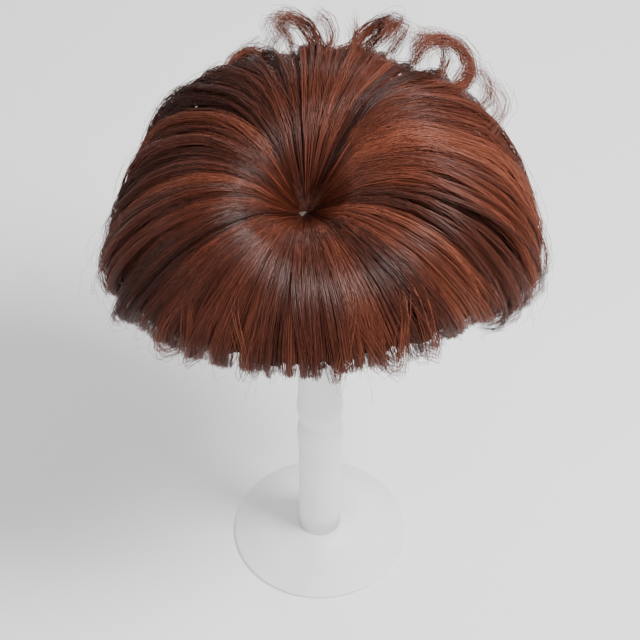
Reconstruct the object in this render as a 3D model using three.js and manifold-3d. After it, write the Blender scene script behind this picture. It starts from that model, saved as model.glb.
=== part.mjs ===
// A hair topper resting on a plain post stand. Millimetres, +Z up, the fringe towards -Y.
// The origin is the middle of the foot's flat underside.

import * as THREE from 'three';
import Module from 'manifold-3d';
import { mergeVertices } from 'three/addons/utils/BufferGeometryUtils.js';

const wasm = await Module();
wasm.setup();

// Fit between neighbouring pieces
const CLEARANCE = 0.3;
const WELD = 1e-4;

// Cap: a shallow dome with a squarish front and a long rounded rear
const CAP_TOP = 362;
const CAP_WIDTH = 136;
const CAP_FRONT_DEPTH = 28;
const CAP_REAR_DEPTH = 128;
const CAP_WIDEST_Y = -46;
const DOME_Y = 4;
const DOME_HALF_WIDTH = 115;
const DOME_HALF_DEPTH = 125;
const DOME_HEIGHT = 100;
const FRONT_SQUARENESS = 3.2;
const REAR_SQUARENESS = 2.3;

// Cloth of the cap
const LACE_THICKNESS = 1;
const MONO_THICKNESS = 1;
const MONO_STAND_OFF = 0.2;
const MONO_WIDTH = 62;
const MONO_DEPTH = 74;
const BINDING_WIDTH = 9;
const BINDING_THICKNESS = 2;
const BINDING_PROUD = 0.5;
const SLOT = 3;
const WEFT_WIDTH = 3;
const WEFT_THICKNESS = 1.2;
const ELASTIC_WIDTH = 11;
const ELASTIC_THICKNESS = 1.5;
const TAB_WIDTH = 9;
const TAB_THICKNESS = 1;
const TAB_LAP = 2.5;

// How finely the cap's sheets and bands are faceted
const SHEET_RINGS = 5;
const SHEET_SPOKES = 32;
const MONO_RINGS = 3;
const MONO_SPOKES = 20;
const RIM_STEPS = 52;
const BAND_STEPS = 20;
const BAND_END = 0.6;
const TAB_STEPS = 4;

// Snap clips under the rim
const CLIP_LENGTH = 32;
const CLIP_BAR_WIDTH = 3.4;
const CLIP_STEEL = 0.8;
const CLIP_EAR_LENGTH = 7;
const CLIP_EAR_WIDTH = 3.2;
const EYELET_RADIUS = 0.8;
const COMB_SPINE_WIDTH = 2.4;
const TOOTH_COUNT = 11;
const TOOTH_WIDTH = 1;
const TOOTH_LENGTH = 12;
const TOOTH_TIP = 0.5;
const CLIP_INSET = 4;
const CLIP_SIDE_X = 41;

// Hair: the whorl that it falls from, and how far it reaches, rises and drops from there
const WHORL_X = -10;
const WHORL_Y = -34;
const WHORL_GAP = 4.5;
const HAIR_SIDE_GAP = 2;
const CROWN_THICKNESS = 5;
const HAIR_REACH = 155;
const HAIR_LIFT = 27;
const HAIR_DROP = 78;
const HAIR_TUCK = 16;
const LOCK_WIDTH = 38;
const LOCK_THICKNESS = 13;
const LOCK_WEAVE = 2.5;
const CURL_WIDTH = 19;
const CURL_TIP_WIDTH = 6;
const CURL_THICKNESS = 9;
const CURL_TIP_THICKNESS = 4.4;
const CURL_STEPS = 7;
const MASS_DEPTH = 6;
const MASS_EDGE = 9;
const MASS_SEAT = 4;
const MASS_SPOKES = 32;
const UNDER_REACH = 0.82;
const UNDER_LIFT = 0.25;
const WEDGE_REACH = 1.5;
const WEDGE_STEPS = 6;

// Stand
const FOOT_RADIUS = 62;
const FOOT_HEIGHT = 12;
const FOOT_EDGE = 3;
const FOOT_SHOULDER_RADIUS = 38;
const FOOT_SHOULDER_HEIGHT = 6.6;
const COLLAR_WIDTH = 6;
const COLLAR_HEIGHT = 10;
const POST_RADIUS = 15;
const POST_BULGE = 1.1;
const POST_PINCH = 1.6;
const BULGE_LENGTH = 26;
const PINCH_Z = 128;
const KNOB_RADIUS = 30;
const KNOB_CROWN_RADIUS = 52;
const KNOB_HEIGHT = 22;
const FOOT_SIDES = 24;
const POST_SIDES = 16;
const POST_STEPS = 8;
const KNOB_SIDES = 20;
const KNOB_STEPS = 6;

// How the hair leaves the whorl, by direction: 0 is the fringe, 90 the right side, 180 the back.
// Lengths are shares of the named hair sizes. Sweep is how far the tips turn aside, in degrees.
// Hang is how late the lock starts to drop: 1 is as in the profile below, more is later.
const SECTIONS = [
  { azimuth: 0, reach: 0.59, lift: 0.22, drop: 0.84, under: 0.80, tuck: 0.50, sweep: 0, hang: 1.0 },
  { azimuth: 30, reach: 0.61, lift: 0.30, drop: 0.88, under: 0.86, tuck: 0.50, sweep: 6, hang: 1.0 },
  { azimuth: 56, reach: 0.74, lift: 0.56, drop: 0.98, under: 1.00, tuck: 0.80, sweep: 14, hang: 1.0 },
  { azimuth: 84, reach: 0.90, lift: 0.90, drop: 1.06, under: 1.16, tuck: 1.00, sweep: 0, hang: 1.1 },
  { azimuth: 112, reach: 0.94, lift: 1.20, drop: 1.12, under: 1.26, tuck: 0.95, sweep: -20, hang: 1.4 },
  { azimuth: 132, reach: 0.99, lift: 1.44, drop: 1.18, under: 1.36, tuck: 0.90, sweep: -12, hang: 1.9 },
  { azimuth: 148, reach: 0.98, lift: 1.30, drop: 1.22, under: 1.38, tuck: 0.95, sweep: 10, hang: 2.3 },
  { azimuth: 164, reach: 0.98, lift: 1.30, drop: 1.26, under: 1.42, tuck: 1.00, sweep: 4, hang: 2.6 },
  { azimuth: 186, reach: 0.95, lift: 1.26, drop: 1.26, under: 1.42, tuck: 1.00, sweep: 8, hang: 2.6 },
  { azimuth: 204, reach: 0.88, lift: 1.20, drop: 1.22, under: 1.38, tuck: 0.90, sweep: 28, hang: 2.4 },
  { azimuth: 226, reach: 0.79, lift: 1.12, drop: 1.14, under: 1.28, tuck: 0.80, sweep: 20, hang: 1.9 },
  { azimuth: 252, reach: 0.78, lift: 0.96, drop: 1.06, under: 1.16, tuck: 0.90, sweep: 4, hang: 1.3 },
  { azimuth: 276, reach: 0.80, lift: 0.74, drop: 1.00, under: 1.06, tuck: 1.00, sweep: -4, hang: 1.1 },
  { azimuth: 298, reach: 0.74, lift: 0.52, drop: 0.96, under: 0.96, tuck: 0.90, sweep: -12, hang: 1.0 },
  { azimuth: 330, reach: 0.62, lift: 0.30, drop: 0.88, under: 0.84, tuck: 0.50, sweep: -4, hang: 1.0 },
];

// The side view of any lock, from root to tip, as shares of its own reach, lift, drop and tuck,
// with its width and thickness on the way.
const PROFILE = [
  { along: 0.08, reach: 0.11, lift: 0.40, drop: 0.00, tuck: 0.00, width: 0.30, thickness: 0.45 },
  { along: 0.24, reach: 0.32, lift: 0.92, drop: 0.00, tuck: 0.00, width: 0.62, thickness: 0.80 },
  { along: 0.40, reach: 0.54, lift: 1.00, drop: 0.07, tuck: 0.00, width: 0.86, thickness: 1.00 },
  { along: 0.56, reach: 0.75, lift: 0.76, drop: 0.22, tuck: 0.00, width: 1.00, thickness: 1.00 },
  { along: 0.71, reach: 0.91, lift: 0.42, drop: 0.46, tuck: 0.00, width: 0.98, thickness: 0.95 },
  { along: 0.86, reach: 0.99, lift: 0.12, drop: 0.76, tuck: 0.10, width: 0.74, thickness: 0.80 },
  { along: 1.00, reach: 1.00, lift: 0.00, drop: 1.00, tuck: 1.00, width: 0.26, thickness: 0.35 },
];

// Corners of a lock's section, as shares of half its width and thickness.
const LOCK_SECTION = [
  { across: -1.0, high: -0.30 },
  { across: -0.5, high: 0.85 },
  { across: 0.5, high: 0.85 },
  { across: 1.0, high: -0.30 },
  { across: 0.0, high: -0.90 },
];

// Hair nodes, each from one direction to where the next node starts, with its number of locks.
const HAIR_NODES = [
  { name: 'hair_right', from: 58, locks: 4 },
  { name: 'hair_right_back', from: 108, locks: 4 },
  { name: 'hair_tuft', from: 150, locks: 3 },
  { name: 'hair_left_back', from: 190, locks: 4 },
  { name: 'hair_left', from: 244, locks: 4 },
  { name: 'hair_fringe', from: 302, locks: 8 },
];

// Loose curls that stand off the mass: where the lock ends, and the loop that its tip makes.
// Reach is a share of the lock's own reach; height and radius are shares of the hair's lift.
const CURLS = [
  { node: 'hair_right_back', azimuth: 133, reach: 0.98, height: 0.74, radius: 0.66, turn: 235, lean: 62 },
  { node: 'hair_tuft', azimuth: 164, reach: 0.99, height: 0.72, radius: 0.50, turn: 250, lean: -58 },
  { node: 'hair_tuft', azimuth: 178, reach: 0.98, height: 0.70, radius: 0.48, turn: 235, lean: 60 },
  { node: 'hair_left_back', azimuth: 203, reach: 0.96, height: 0.34, radius: 0.42, turn: 200, lean: -70 },
];

// Lace bridges: where each crosses the slots, in degrees round the rim from the right side.
const TAB_ANGLES = [13, 31, 49, 66, 114, 131, 149, 167];

const HAIR_COLOUR = 0x5c2c22;
const HAIR_DARK = 0x45201a;
const LACE_COLOUR = 0x5a4c4a;
const MONO_COLOUR = 0x9a7f72;
const TAPE_COLOUR = 0x453737;
const STEEL_COLOUR = 0x6b6668;
const STAND_COLOUR = 0xf0f0ee;

const DEGREE = Math.PI / 180;
const TURN = 360;
const DEEP = 4 * HAIR_DROP;

function signedPower(value, power) {
  return Math.sign(value) * Math.abs(value) ** power;
}

function mix(a, b, share) {
  return a + (b - a) * share;
}

// Geometry helpers

function middle(ring) {
  const sum = new THREE.Vector3();
  for (const point of ring) sum.add(point);
  return sum.divideScalar(ring.length);
}

// A closed body through rings with the same number of points. Its ends are closed by fans,
// or, where it returns to its start, joined to each other.
function loft(rings, returns = false) {
  const count = rings[0].length;
  const points = rings.flat();
  const index = [];
  const steps = returns ? rings.length : rings.length - 1;
  for (let r = 0; r < steps; r += 1) {
    const here = r * count;
    const next = ((r + 1) % rings.length) * count;
    for (let k = 0; k < count; k += 1) {
      const beside = (k + 1) % count;
      index.push(here + k, here + beside, next + beside, here + k, next + beside, next + k);
    }
  }
  if (!returns) {
    const first = points.push(middle(rings[0])) - 1;
    const last = points.push(middle(rings[rings.length - 1])) - 1;
    const end = (rings.length - 1) * count;
    for (let k = 0; k < count; k += 1) {
      const beside = (k + 1) % count;
      index.push(first, beside, k, last, end + k, end + beside);
    }
  }
  const geometry = new THREE.BufferGeometry().setFromPoints(points);
  geometry.setIndex(index);
  return facingOut(geometry);
}

// Turns the faces over where the body is inside out.
function facingOut(geometry) {
  const { array } = geometry.getAttribute('position');
  const index = geometry.index.array;
  const corner = (n) => new THREE.Vector3().fromArray(array, index[n] * 3);
  let volume = 0;
  for (let n = 0; n < index.length; n += 3) {
    volume += corner(n).dot(corner(n + 1).cross(corner(n + 2)));
  }
  if (volume < 0) {
    for (let n = 0; n < index.length; n += 3) {
      [index[n], index[n + 1]] = [index[n + 1], index[n]];
    }
  }
  geometry.computeVertexNormals();
  return geometry;
}

function toSolid(geometry) {
  const bare = geometry.clone();
  bare.deleteAttribute('normal');
  bare.deleteAttribute('uv');
  const merged = mergeVertices(bare, WELD);
  return new wasm.Manifold(new wasm.Mesh({
    numProp: 3,
    vertProperties: merged.getAttribute('position').array,
    triVerts: Uint32Array.from(merged.index.array),
  }));
}

function toGeometry(solid) {
  const mesh = solid.getMesh();
  const geometry = new THREE.BufferGeometry();
  geometry.setAttribute('position', new THREE.BufferAttribute(mesh.vertProperties, 3));
  geometry.setIndex(new THREE.BufferAttribute(mesh.triVerts, 1));
  geometry.computeVertexNormals();
  return geometry;
}

function joined(geometries) {
  return geometries.map(toSolid).reduce((whole, piece) => whole.add(piece));
}

// The body that holds the most material, without crumbs that a cut left beside it.
function largestBody(solid) {
  const bodies = solid.decompose();
  return bodies.reduce((best, body) => (body.volume() > best.volume() ? body : best));
}

// Cap shape

// Height of the dome at a place, with its surface raised by lift.
function domeHeight(x, y, lift = 0) {
  const across = x / (DOME_HALF_WIDTH + lift);
  const along = (y - DOME_Y) / (DOME_HALF_DEPTH + lift);
  const share = Math.max(0, 1 - across * across - along * along);
  return CAP_TOP - DOME_HEIGHT + (DOME_HEIGHT + lift) * Math.sqrt(share);
}

function onDome(x, y, lift) {
  return new THREE.Vector3(x, y, domeHeight(x, y, lift));
}

// The cap's outline, moved inwards by inset. Angle 0 is the right side and 90 the rear.
function capOutline(angle, inset) {
  const [across, along] = [Math.cos(angle * DEGREE), Math.sin(angle * DEGREE)];
  const rear = along >= 0;
  const squareness = rear ? REAR_SQUARENESS : FRONT_SQUARENESS;
  const depth = (rear ? CAP_REAR_DEPTH : CAP_FRONT_DEPTH) - inset;
  return new THREE.Vector2(
    (CAP_WIDTH / 2 - inset) * signedPower(across, 2 / squareness),
    CAP_WIDEST_Y + depth * signedPower(along, 2 / squareness),
  );
}

// The rear bands follow the same rim, in a U that starts at the cap's widest line.
function bandPath(angle, inset) {
  return capOutline(THREE.MathUtils.clamp(angle, 0, TURN / 2), inset);
}

// A sheet on the dome inside an outline, between two lifts.
function domeSheet(outline, centre, low, high, rings, spokes) {
  const layers = [];
  const ringAt = (share, lift) => Array.from({ length: spokes }, (_, k) => {
    const edge = outline(k * TURN / spokes);
    const place = centre.clone().lerp(edge, share);
    return onDome(place.x, place.y, lift);
  });
  for (let r = 1; r <= rings; r += 1) layers.push(ringAt(r / rings, high));
  for (let r = rings; r >= 1; r -= 1) layers.push(ringAt(r / rings, low));
  return loft(layers);
}

// A band round the rim on the dome, between two insets and two lifts.
function domeBand(path, outer, inner, low, high, angles, returns = false) {
  const rings = angles.map((angle) => {
    const [out, into] = [path(angle, outer), path(angle, inner)];
    return [
      onDome(out.x, out.y, low),
      onDome(out.x, out.y, high),
      onDome(into.x, into.y, high),
      onDome(into.x, into.y, low),
    ];
  });
  return loft(rings, returns);
}

function spread(from, to, count) {
  return Array.from({ length: count + 1 }, (_, k) => mix(from, to, k / count));
}

const CAP_CENTRE = new THREE.Vector2(0, DOME_Y);
const WEFT_OUTER_INSET = BINDING_WIDTH + SLOT;
const WEFT_INNER_INSET = WEFT_OUTER_INSET + WEFT_WIDTH + SLOT;
const ELASTIC_INSET = WEFT_INNER_INSET + WEFT_WIDTH + SLOT;
const LACE_REAR_INSET = ELASTIC_INSET + ELASTIC_WIDTH + CLEARANCE;
const MONO_LIFT = CLEARANCE + MONO_STAND_OFF;
const FACET_CLEARANCE = 3 * CLEARANCE;
const HAIR_UNDERSIDE = MONO_LIFT + MONO_THICKNESS + FACET_CLEARANCE;

function laceLining() {
  const whole = toSolid(domeSheet(
    (angle) => capOutline(angle, BINDING_WIDTH + CLEARANCE),
    CAP_CENTRE, -LACE_THICKNESS, 0, SHEET_RINGS, SHEET_SPOKES,
  ));
  const rearSpace = [];
  for (const angle of spread(0, TURN / 2, BAND_STEPS)) {
    const [out, into] = [bandPath(angle, 0), bandPath(angle, LACE_REAR_INSET)];
    rearSpace.push([
      new THREE.Vector3(out.x, out.y, 0), new THREE.Vector3(out.x, out.y, 2 * CAP_TOP),
      new THREE.Vector3(into.x, into.y, 2 * CAP_TOP), new THREE.Vector3(into.x, into.y, 0),
    ]);
  }
  return toGeometry(whole.subtract(toSolid(loft(rearSpace))));
}

function monoTop() {
  const centre = new THREE.Vector2(0, CAP_WIDEST_Y + MONO_DEPTH / 2 - CAP_FRONT_DEPTH + BINDING_WIDTH);
  const oval = (angle) => new THREE.Vector2(
    centre.x + MONO_WIDTH / 2 * Math.cos(angle * DEGREE),
    centre.y + MONO_DEPTH / 2 * Math.sin(angle * DEGREE),
  );
  return domeSheet(oval, centre, MONO_LIFT, MONO_LIFT + MONO_THICKNESS, MONO_RINGS, MONO_SPOKES);
}

function edgeBinding() {
  const angles = Array.from({ length: RIM_STEPS }, (_, k) => k * TURN / RIM_STEPS);
  const low = BINDING_PROUD - BINDING_THICKNESS;
  return domeBand(capOutline, 0, BINDING_WIDTH, low, BINDING_PROUD, angles, true);
}

function rearBand(inset, width, thickness) {
  const angles = spread(BAND_END, TURN / 2 - BAND_END, BAND_STEPS);
  return domeBand(bandPath, inset, inset + width, -thickness, 0, angles);
}

function laceTab(angle) {
  const low = BINDING_PROUD - BINDING_THICKNESS - CLEARANCE - TAB_THICKNESS;
  const high = low + TAB_THICKNESS;
  const [ahead, behind] = [capOutline(angle + 1, 0), capOutline(angle - 1, 0)];
  const side = ahead.clone().sub(behind).normalize().multiplyScalar(TAB_WIDTH / 2);
  const rings = spread(BINDING_WIDTH - TAB_LAP, ELASTIC_INSET + TAB_LAP, TAB_STEPS).map((inset) => {
    const place = capOutline(angle, inset);
    const [left, right] = [place.clone().sub(side), place.clone().add(side)];
    return [
      onDome(left.x, left.y, low), onDome(left.x, left.y, high),
      onDome(right.x, right.y, high), onDome(right.x, right.y, low),
    ];
  });
  return loft(rings);
}

// Clips: drawn flat, with the hinge along X, the teeth towards -Y and the cap above

const EAR_INNER = CLIP_LENGTH / 2 - CLIP_EAR_WIDTH;
const COMB_LENGTH = 2 * (EAR_INNER - CLEARANCE);
const HINGE_Y = -CLIP_EAR_LENGTH + COMB_SPINE_WIDTH / 2;
const CLIP_DEPTH = CLIP_BAR_WIDTH + CLIP_EAR_LENGTH + TOOTH_LENGTH;
const CLIP_MIDDLE = CLIP_DEPTH / 2 - CLIP_BAR_WIDTH;

function clipFrame() {
  const outline = new THREE.Shape();
  outline.moveTo(-CLIP_LENGTH / 2, CLIP_BAR_WIDTH);
  outline.lineTo(-CLIP_LENGTH / 2, -CLIP_EAR_LENGTH);
  outline.lineTo(-EAR_INNER, -CLIP_EAR_LENGTH);
  outline.lineTo(-EAR_INNER, 0);
  outline.lineTo(EAR_INNER, 0);
  outline.lineTo(EAR_INNER, -CLIP_EAR_LENGTH);
  outline.lineTo(CLIP_LENGTH / 2, -CLIP_EAR_LENGTH);
  outline.lineTo(CLIP_LENGTH / 2, CLIP_BAR_WIDTH);
  for (const end of [-1, 1]) {
    const eyelet = new THREE.Path();
    const x = end * (CLIP_LENGTH / 2 - CLIP_EAR_WIDTH / 2);
    eyelet.absarc(x, CLIP_BAR_WIDTH / 2, EYELET_RADIUS, 0, 2 * Math.PI, true);
    outline.holes.push(eyelet);
  }
  return new THREE.ExtrudeGeometry(outline, {
    depth: CLIP_STEEL, bevelEnabled: false, curveSegments: 6,
  }).translate(0, CLIP_MIDDLE, 0);
}

function clipComb() {
  const outline = new THREE.Shape();
  const half = COMB_LENGTH / 2;
  const back = HINGE_Y + COMB_SPINE_WIDTH / 2;
  const front = HINGE_Y - COMB_SPINE_WIDTH / 2;
  outline.moveTo(half, back);
  outline.lineTo(-half, back);
  const pitch = (COMB_LENGTH - TOOTH_WIDTH) / (TOOTH_COUNT - 1);
  for (let n = 0; n < TOOTH_COUNT; n += 1) {
    const x = -half + TOOTH_WIDTH / 2 + n * pitch;
    const tip = TOOTH_WIDTH * TOOTH_TIP / 2;
    outline.lineTo(x - TOOTH_WIDTH / 2, front);
    outline.lineTo(x - tip, front - TOOTH_LENGTH);
    outline.lineTo(x + tip, front - TOOTH_LENGTH);
    outline.lineTo(x + TOOTH_WIDTH / 2, front);
  }
  return new THREE.ExtrudeGeometry(outline, { depth: CLIP_STEEL, bevelEnabled: false })
    .translate(0, CLIP_MIDDLE, 0);
}

// Places a flat clip under the rim by its middle, its hinge square to the way out of the cap.
function clipGroup(x, y, facing) {
  const normalOf = (px, py) => {
    const across = px / DOME_HALF_WIDTH ** 2;
    const along = (py - DOME_Y) / DOME_HALF_DEPTH ** 2;
    const up = (domeHeight(px, py) - CAP_TOP + DOME_HEIGHT) / DOME_HEIGHT ** 2;
    return new THREE.Vector3(across, along, up).normalize();
  };
  const up = normalOf(x, y);
  const outward = new THREE.Vector3(Math.cos(facing * DEGREE), Math.sin(facing * DEGREE), 0);
  const hinge = outward.clone().cross(up).normalize();
  const forward = up.clone().cross(hinge).normalize();
  const group = new THREE.Group();
  group.quaternion.setFromRotationMatrix(new THREE.Matrix4().makeBasis(hinge, forward, up));
  const sag = (CLIP_LENGTH ** 2 + CLIP_DEPTH ** 2) / (8 * DOME_HEIGHT);
  const below = BINDING_THICKNESS - BINDING_PROUD + CLEARANCE + CLIP_STEEL + sag;
  group.position.copy(onDome(x, y, 0)).addScaledVector(up, -below);
  return group;
}

// Hair

const WHORL = new THREE.Vector2(WHORL_X, WHORL_Y);
const WHORL_Z = domeHeight(WHORL_X, WHORL_Y, HAIR_UNDERSIDE + CROWN_THICKNESS);

// A row of the section table at any direction, blended smoothly between its neighbours.
function sectionAt(azimuth) {
  const turned = ((azimuth % TURN) + TURN) % TURN;
  let n = SECTIONS.length - 1;
  while (SECTIONS[n].azimuth > turned) n -= 1;
  const rows = [-1, 0, 1, 2].map((k) => SECTIONS[(n + k + SECTIONS.length) % SECTIONS.length]);
  const span = (rows[2].azimuth - rows[1].azimuth + TURN) % TURN;
  const share = (turned - rows[1].azimuth) / span;
  const blend = (key) => {
    const [a, b, c, d] = rows.map((row) => row[key]);
    const slopeB = (c - a) / 2;
    const slopeC = (d - b) / 2;
    return hermite(b, c, slopeB, slopeC, share);
  };
  return Object.fromEntries(Object.keys(SECTIONS[0]).map((key) => [key, blend(key)]));
}

function hermite(a, b, slopeA, slopeB, share) {
  const [s2, s3] = [share ** 2, share ** 3];
  return a * (2 * s3 - 3 * s2 + 1) + slopeA * (s3 - 2 * s2 + share)
    + b * (3 * s2 - 2 * s3) + slopeB * (s3 - s2);
}

// Where the hair runs: layer 0 is the top hair and 1 the shortest hair beneath it.
function lockPoint(azimuth, layer, station) {
  const row = sectionAt(azimuth);
  const reach = HAIR_REACH * row.reach * mix(1, UNDER_REACH, layer);
  const lift = HAIR_LIFT * row.lift * mix(1, UNDER_LIFT, layer);
  const drop = HAIR_DROP * mix(row.drop, row.under, layer);
  const away = reach * station.reach - HAIR_TUCK * row.tuck * station.tuck;
  const turned = (azimuth + row.sweep * station.along ** 2) * DEGREE;
  return new THREE.Vector3(
    WHORL.x + away * Math.sin(turned),
    WHORL.y - away * Math.cos(turned),
    WHORL_Z + lift * station.lift - drop * station.drop ** row.hang,
  );
}

// A flattened section of a lock, its ridge away from the cap.
function lockRing(centre, ahead, out, width, thickness) {
  const side = new THREE.Vector3().crossVectors(ahead, out).normalize();
  const up = new THREE.Vector3().crossVectors(side, ahead).normalize();
  return LOCK_SECTION.map(({ across, high }) => centre.clone()
    .addScaledVector(side, across * width / 2)
    .addScaledVector(up, high * thickness / 2));
}

// The middle of the dome's base, which hair stands away from.
const HAIR_HEART = new THREE.Vector3(0, DOME_Y, CAP_TOP - DOME_HEIGHT);

function awayFromHeart(point) {
  return point.clone().sub(HAIR_HEART).normalize();
}

function lockAlong(points, widths, thicknesses) {
  const rings = points.map((point, n) => {
    const ahead = points[Math.min(n + 1, points.length - 1)].clone()
      .sub(points[Math.max(n - 1, 0)]).normalize();
    return lockRing(point, ahead, awayFromHeart(point), widths[n], thicknesses[n]);
  });
  return loft(rings);
}

// A lock of the top hair, raised or sunk a little so that neighbours overlap like tiles.
function lock(azimuth, width, raised) {
  const points = PROFILE.map((station) => {
    const point = lockPoint(azimuth, 0, station);
    return point.addScaledVector(awayFromHeart(point), raised * LOCK_WEAVE * station.thickness);
  });
  const widths = PROFILE.map((station) => width * station.width);
  const thicknesses = PROFILE.map((station) => LOCK_THICKNESS * station.thickness);
  return lockAlong(points, widths, thicknesses);
}

// A thin lock that leaves the mass and ends in an open loop.
function curl(row) {
  const section = sectionAt(row.azimuth);
  const azimuth = row.azimuth * DEGREE;
  const outward = new THREE.Vector3(Math.sin(azimuth), -Math.cos(azimuth), 0);
  const aside = new THREE.Vector3(Math.cos(azimuth), Math.sin(azimuth), 0);
  const lean = row.lean * DEGREE;
  const radius = HAIR_LIFT * row.radius;
  const rise = new THREE.Vector3(0, 0, Math.cos(lean)).addScaledVector(aside, Math.sin(lean));
  const start = new THREE.Vector3(WHORL.x, WHORL.y, WHORL_Z + HAIR_LIFT * row.height)
    .addScaledVector(outward, HAIR_REACH * section.reach * row.reach - radius);
  const stem = PROFILE.slice(1, 4).map((station) => lockPoint(row.azimuth, 0, station));
  const loop = spread(0, row.turn, CURL_STEPS).map((turn) => start.clone()
    .addScaledVector(outward, radius * Math.sin(turn * DEGREE))
    .addScaledVector(rise, radius * (1 - Math.cos(turn * DEGREE))));
  const points = stem.concat(loop);
  const taper = (root, tip) => points.map((_, n) => mix(root, tip, n / (points.length - 1)));
  return lockAlong(points, taper(CURL_WIDTH, CURL_TIP_WIDTH), taper(CURL_THICKNESS, CURL_TIP_THICKNESS));
}

// The space of one hair node: a wedge from the whorl whose sides follow the sweep.
function wedge(from, to) {
  const border = (azimuth, side) => spread(0, WEDGE_REACH, WEDGE_STEPS).map((share) => {
    const row = sectionAt(azimuth);
    const turned = (azimuth + row.sweep * Math.min(share, 1) ** 2) * DEGREE;
    const away = Math.max(HAIR_REACH * share, WHORL_GAP / 2);
    return new THREE.Vector2(
      WHORL.x + away * Math.sin(turned) + side * Math.cos(turned) * CLEARANCE / 2,
      WHORL.y - away * Math.cos(turned) + side * Math.sin(turned) * CLEARANCE / 2,
    );
  });
  const start = border(from, 1);
  const end = border(to, -1).reverse();
  const far = spread(from, to, WEDGE_STEPS).slice(1, -1).map((azimuth) => new THREE.Vector2(
    WHORL.x + 2 * HAIR_REACH * Math.sin(azimuth * DEGREE),
    WHORL.y - 2 * HAIR_REACH * Math.cos(azimuth * DEGREE),
  ));
  const plan = new THREE.Shape(start.concat(far, end));
  const block = new THREE.ExtrudeGeometry(plan, { depth: 2 * DEEP, bevelEnabled: false });
  return toSolid(block.translate(0, 0, CAP_TOP - DEEP));
}

// The cap's space, which the hair lies over: its dome, open downwards, and the hole at the whorl.
function capSpace() {
  const outline = (angle) => capOutline(angle, -HAIR_SIDE_GAP);
  const top = domeSheet(outline, CAP_CENTRE, -DEEP, HAIR_UNDERSIDE, 6, 36);
  const whorl = new THREE.CylinderGeometry(WHORL_GAP, WHORL_GAP, DEEP, 12).rotateX(Math.PI / 2);
  return toSolid(top).add(toSolid(whorl.translate(WHORL.x, WHORL.y, CAP_TOP)));
}

// The mass that the locks are fused to: a wall that leaves the cap and hangs round it, its outer
// face just under the locks and its inner face open to the cap's hollow.
function hairMass() {
  const ringAt = (place) => Array.from({ length: MASS_SPOKES }, (_, k) => place(k * TURN / MASS_SPOKES));
  const sunk = (azimuth, layer, station, depth) => {
    const point = lockPoint(azimuth, layer, station);
    return point.addScaledVector(awayFromHeart(point), -depth);
  };
  const hanging = PROFILE.slice(0, -1);
  const outer = hanging.map((station) => ringAt((azimuth) => sunk(azimuth, 0, station, MASS_DEPTH)));
  const tip = PROFILE[PROFILE.length - 1];
  const edge = ringAt((azimuth) => sunk(azimuth, 1, tip, 0));
  const inner = PROFILE.slice(3, -1).reverse()
    .map((station) => ringAt((azimuth) => sunk(azimuth, 1, station, MASS_EDGE)));
  const seat = ringAt((azimuth) => {
    const point = lockPoint(azimuth, 1, PROFILE[1]);
    return onDome(point.x, point.y, -MASS_SEAT);
  });
  return toSolid(loft([...outer, edge, ...inner, seat]));
}

function hairNode(node, to) {
  const step = (to - node.from) / node.locks;
  const pieces = [];
  for (let n = 0; n < node.locks; n += 1) {
    const azimuth = node.from + (n + 0.5) * step;
    const width = LOCK_WIDTH * sectionAt(azimuth).reach;
    pieces.push(lock(azimuth, width, n % 2 ? 1 : -1));
  }
  for (const row of CURLS) {
    if (row.node === node.name) pieces.push(curl(row));
  }
  const whole = joined(pieces).add(MASS).subtract(CAP_SPACE).intersect(wedge(node.from, to));
  return toGeometry(largestBody(whole));
}

const CAP_SPACE = capSpace();
const MASS = hairMass();

// Stand

const KNOB_TOP = CAP_TOP - LACE_THICKNESS - FACET_CLEARANCE;
const KNOB_BASE = KNOB_TOP - KNOB_HEIGHT;

function standFoot() {
  const profile = [
    new THREE.Vector2(0, 0),
    new THREE.Vector2(FOOT_RADIUS - FOOT_EDGE / 2, 0),
    new THREE.Vector2(FOOT_RADIUS, FOOT_EDGE / 2),
    new THREE.Vector2(FOOT_RADIUS - FOOT_EDGE / 3, FOOT_EDGE),
    new THREE.Vector2(FOOT_SHOULDER_RADIUS, FOOT_SHOULDER_HEIGHT),
    new THREE.Vector2(POST_RADIUS + COLLAR_WIDTH, COLLAR_HEIGHT),
    new THREE.Vector2(POST_RADIUS + COLLAR_WIDTH / 2, FOOT_HEIGHT),
    new THREE.Vector2(0, FOOT_HEIGHT),
  ];
  return lathe(profile, FOOT_SIDES);
}

function lathe(profile, sides) {
  return new THREE.LatheGeometry(profile, sides).rotateX(Math.PI / 2);
}

function standPost() {
  const swell = (z) => {
    const away = Math.abs(z - PINCH_Z) / BULGE_LENGTH;
    if (away > 1) return 0;
    return POST_BULGE * Math.sin(Math.PI * away) - POST_PINCH * (1 - away) ** 4;
  };
  const low = FOOT_HEIGHT + CLEARANCE;
  const high = KNOB_BASE - CLEARANCE;
  const turned = spread(PINCH_Z - BULGE_LENGTH, PINCH_Z + BULGE_LENGTH, POST_STEPS);
  const profile = [low, ...turned, high].map((z) => new THREE.Vector2(POST_RADIUS + swell(z), z));
  return lathe([new THREE.Vector2(0, low), ...profile, new THREE.Vector2(0, high)], POST_SIDES);
}

function standKnob() {
  const profile = [new THREE.Vector2(0, KNOB_BASE), new THREE.Vector2(POST_RADIUS, KNOB_BASE)];
  const steepest = Math.asin(KNOB_RADIUS / KNOB_CROWN_RADIUS);
  for (const angle of spread(steepest, 0, KNOB_STEPS)) {
    profile.push(new THREE.Vector2(
      KNOB_CROWN_RADIUS * Math.sin(angle),
      KNOB_TOP - KNOB_CROWN_RADIUS * (1 - Math.cos(angle)),
    ));
  }
  return lathe(profile, KNOB_SIDES);
}

// Materials and the whole

function material(color, roughness, metalness = 0) {
  return new THREE.MeshStandardMaterial({ color, roughness, metalness });
}

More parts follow.
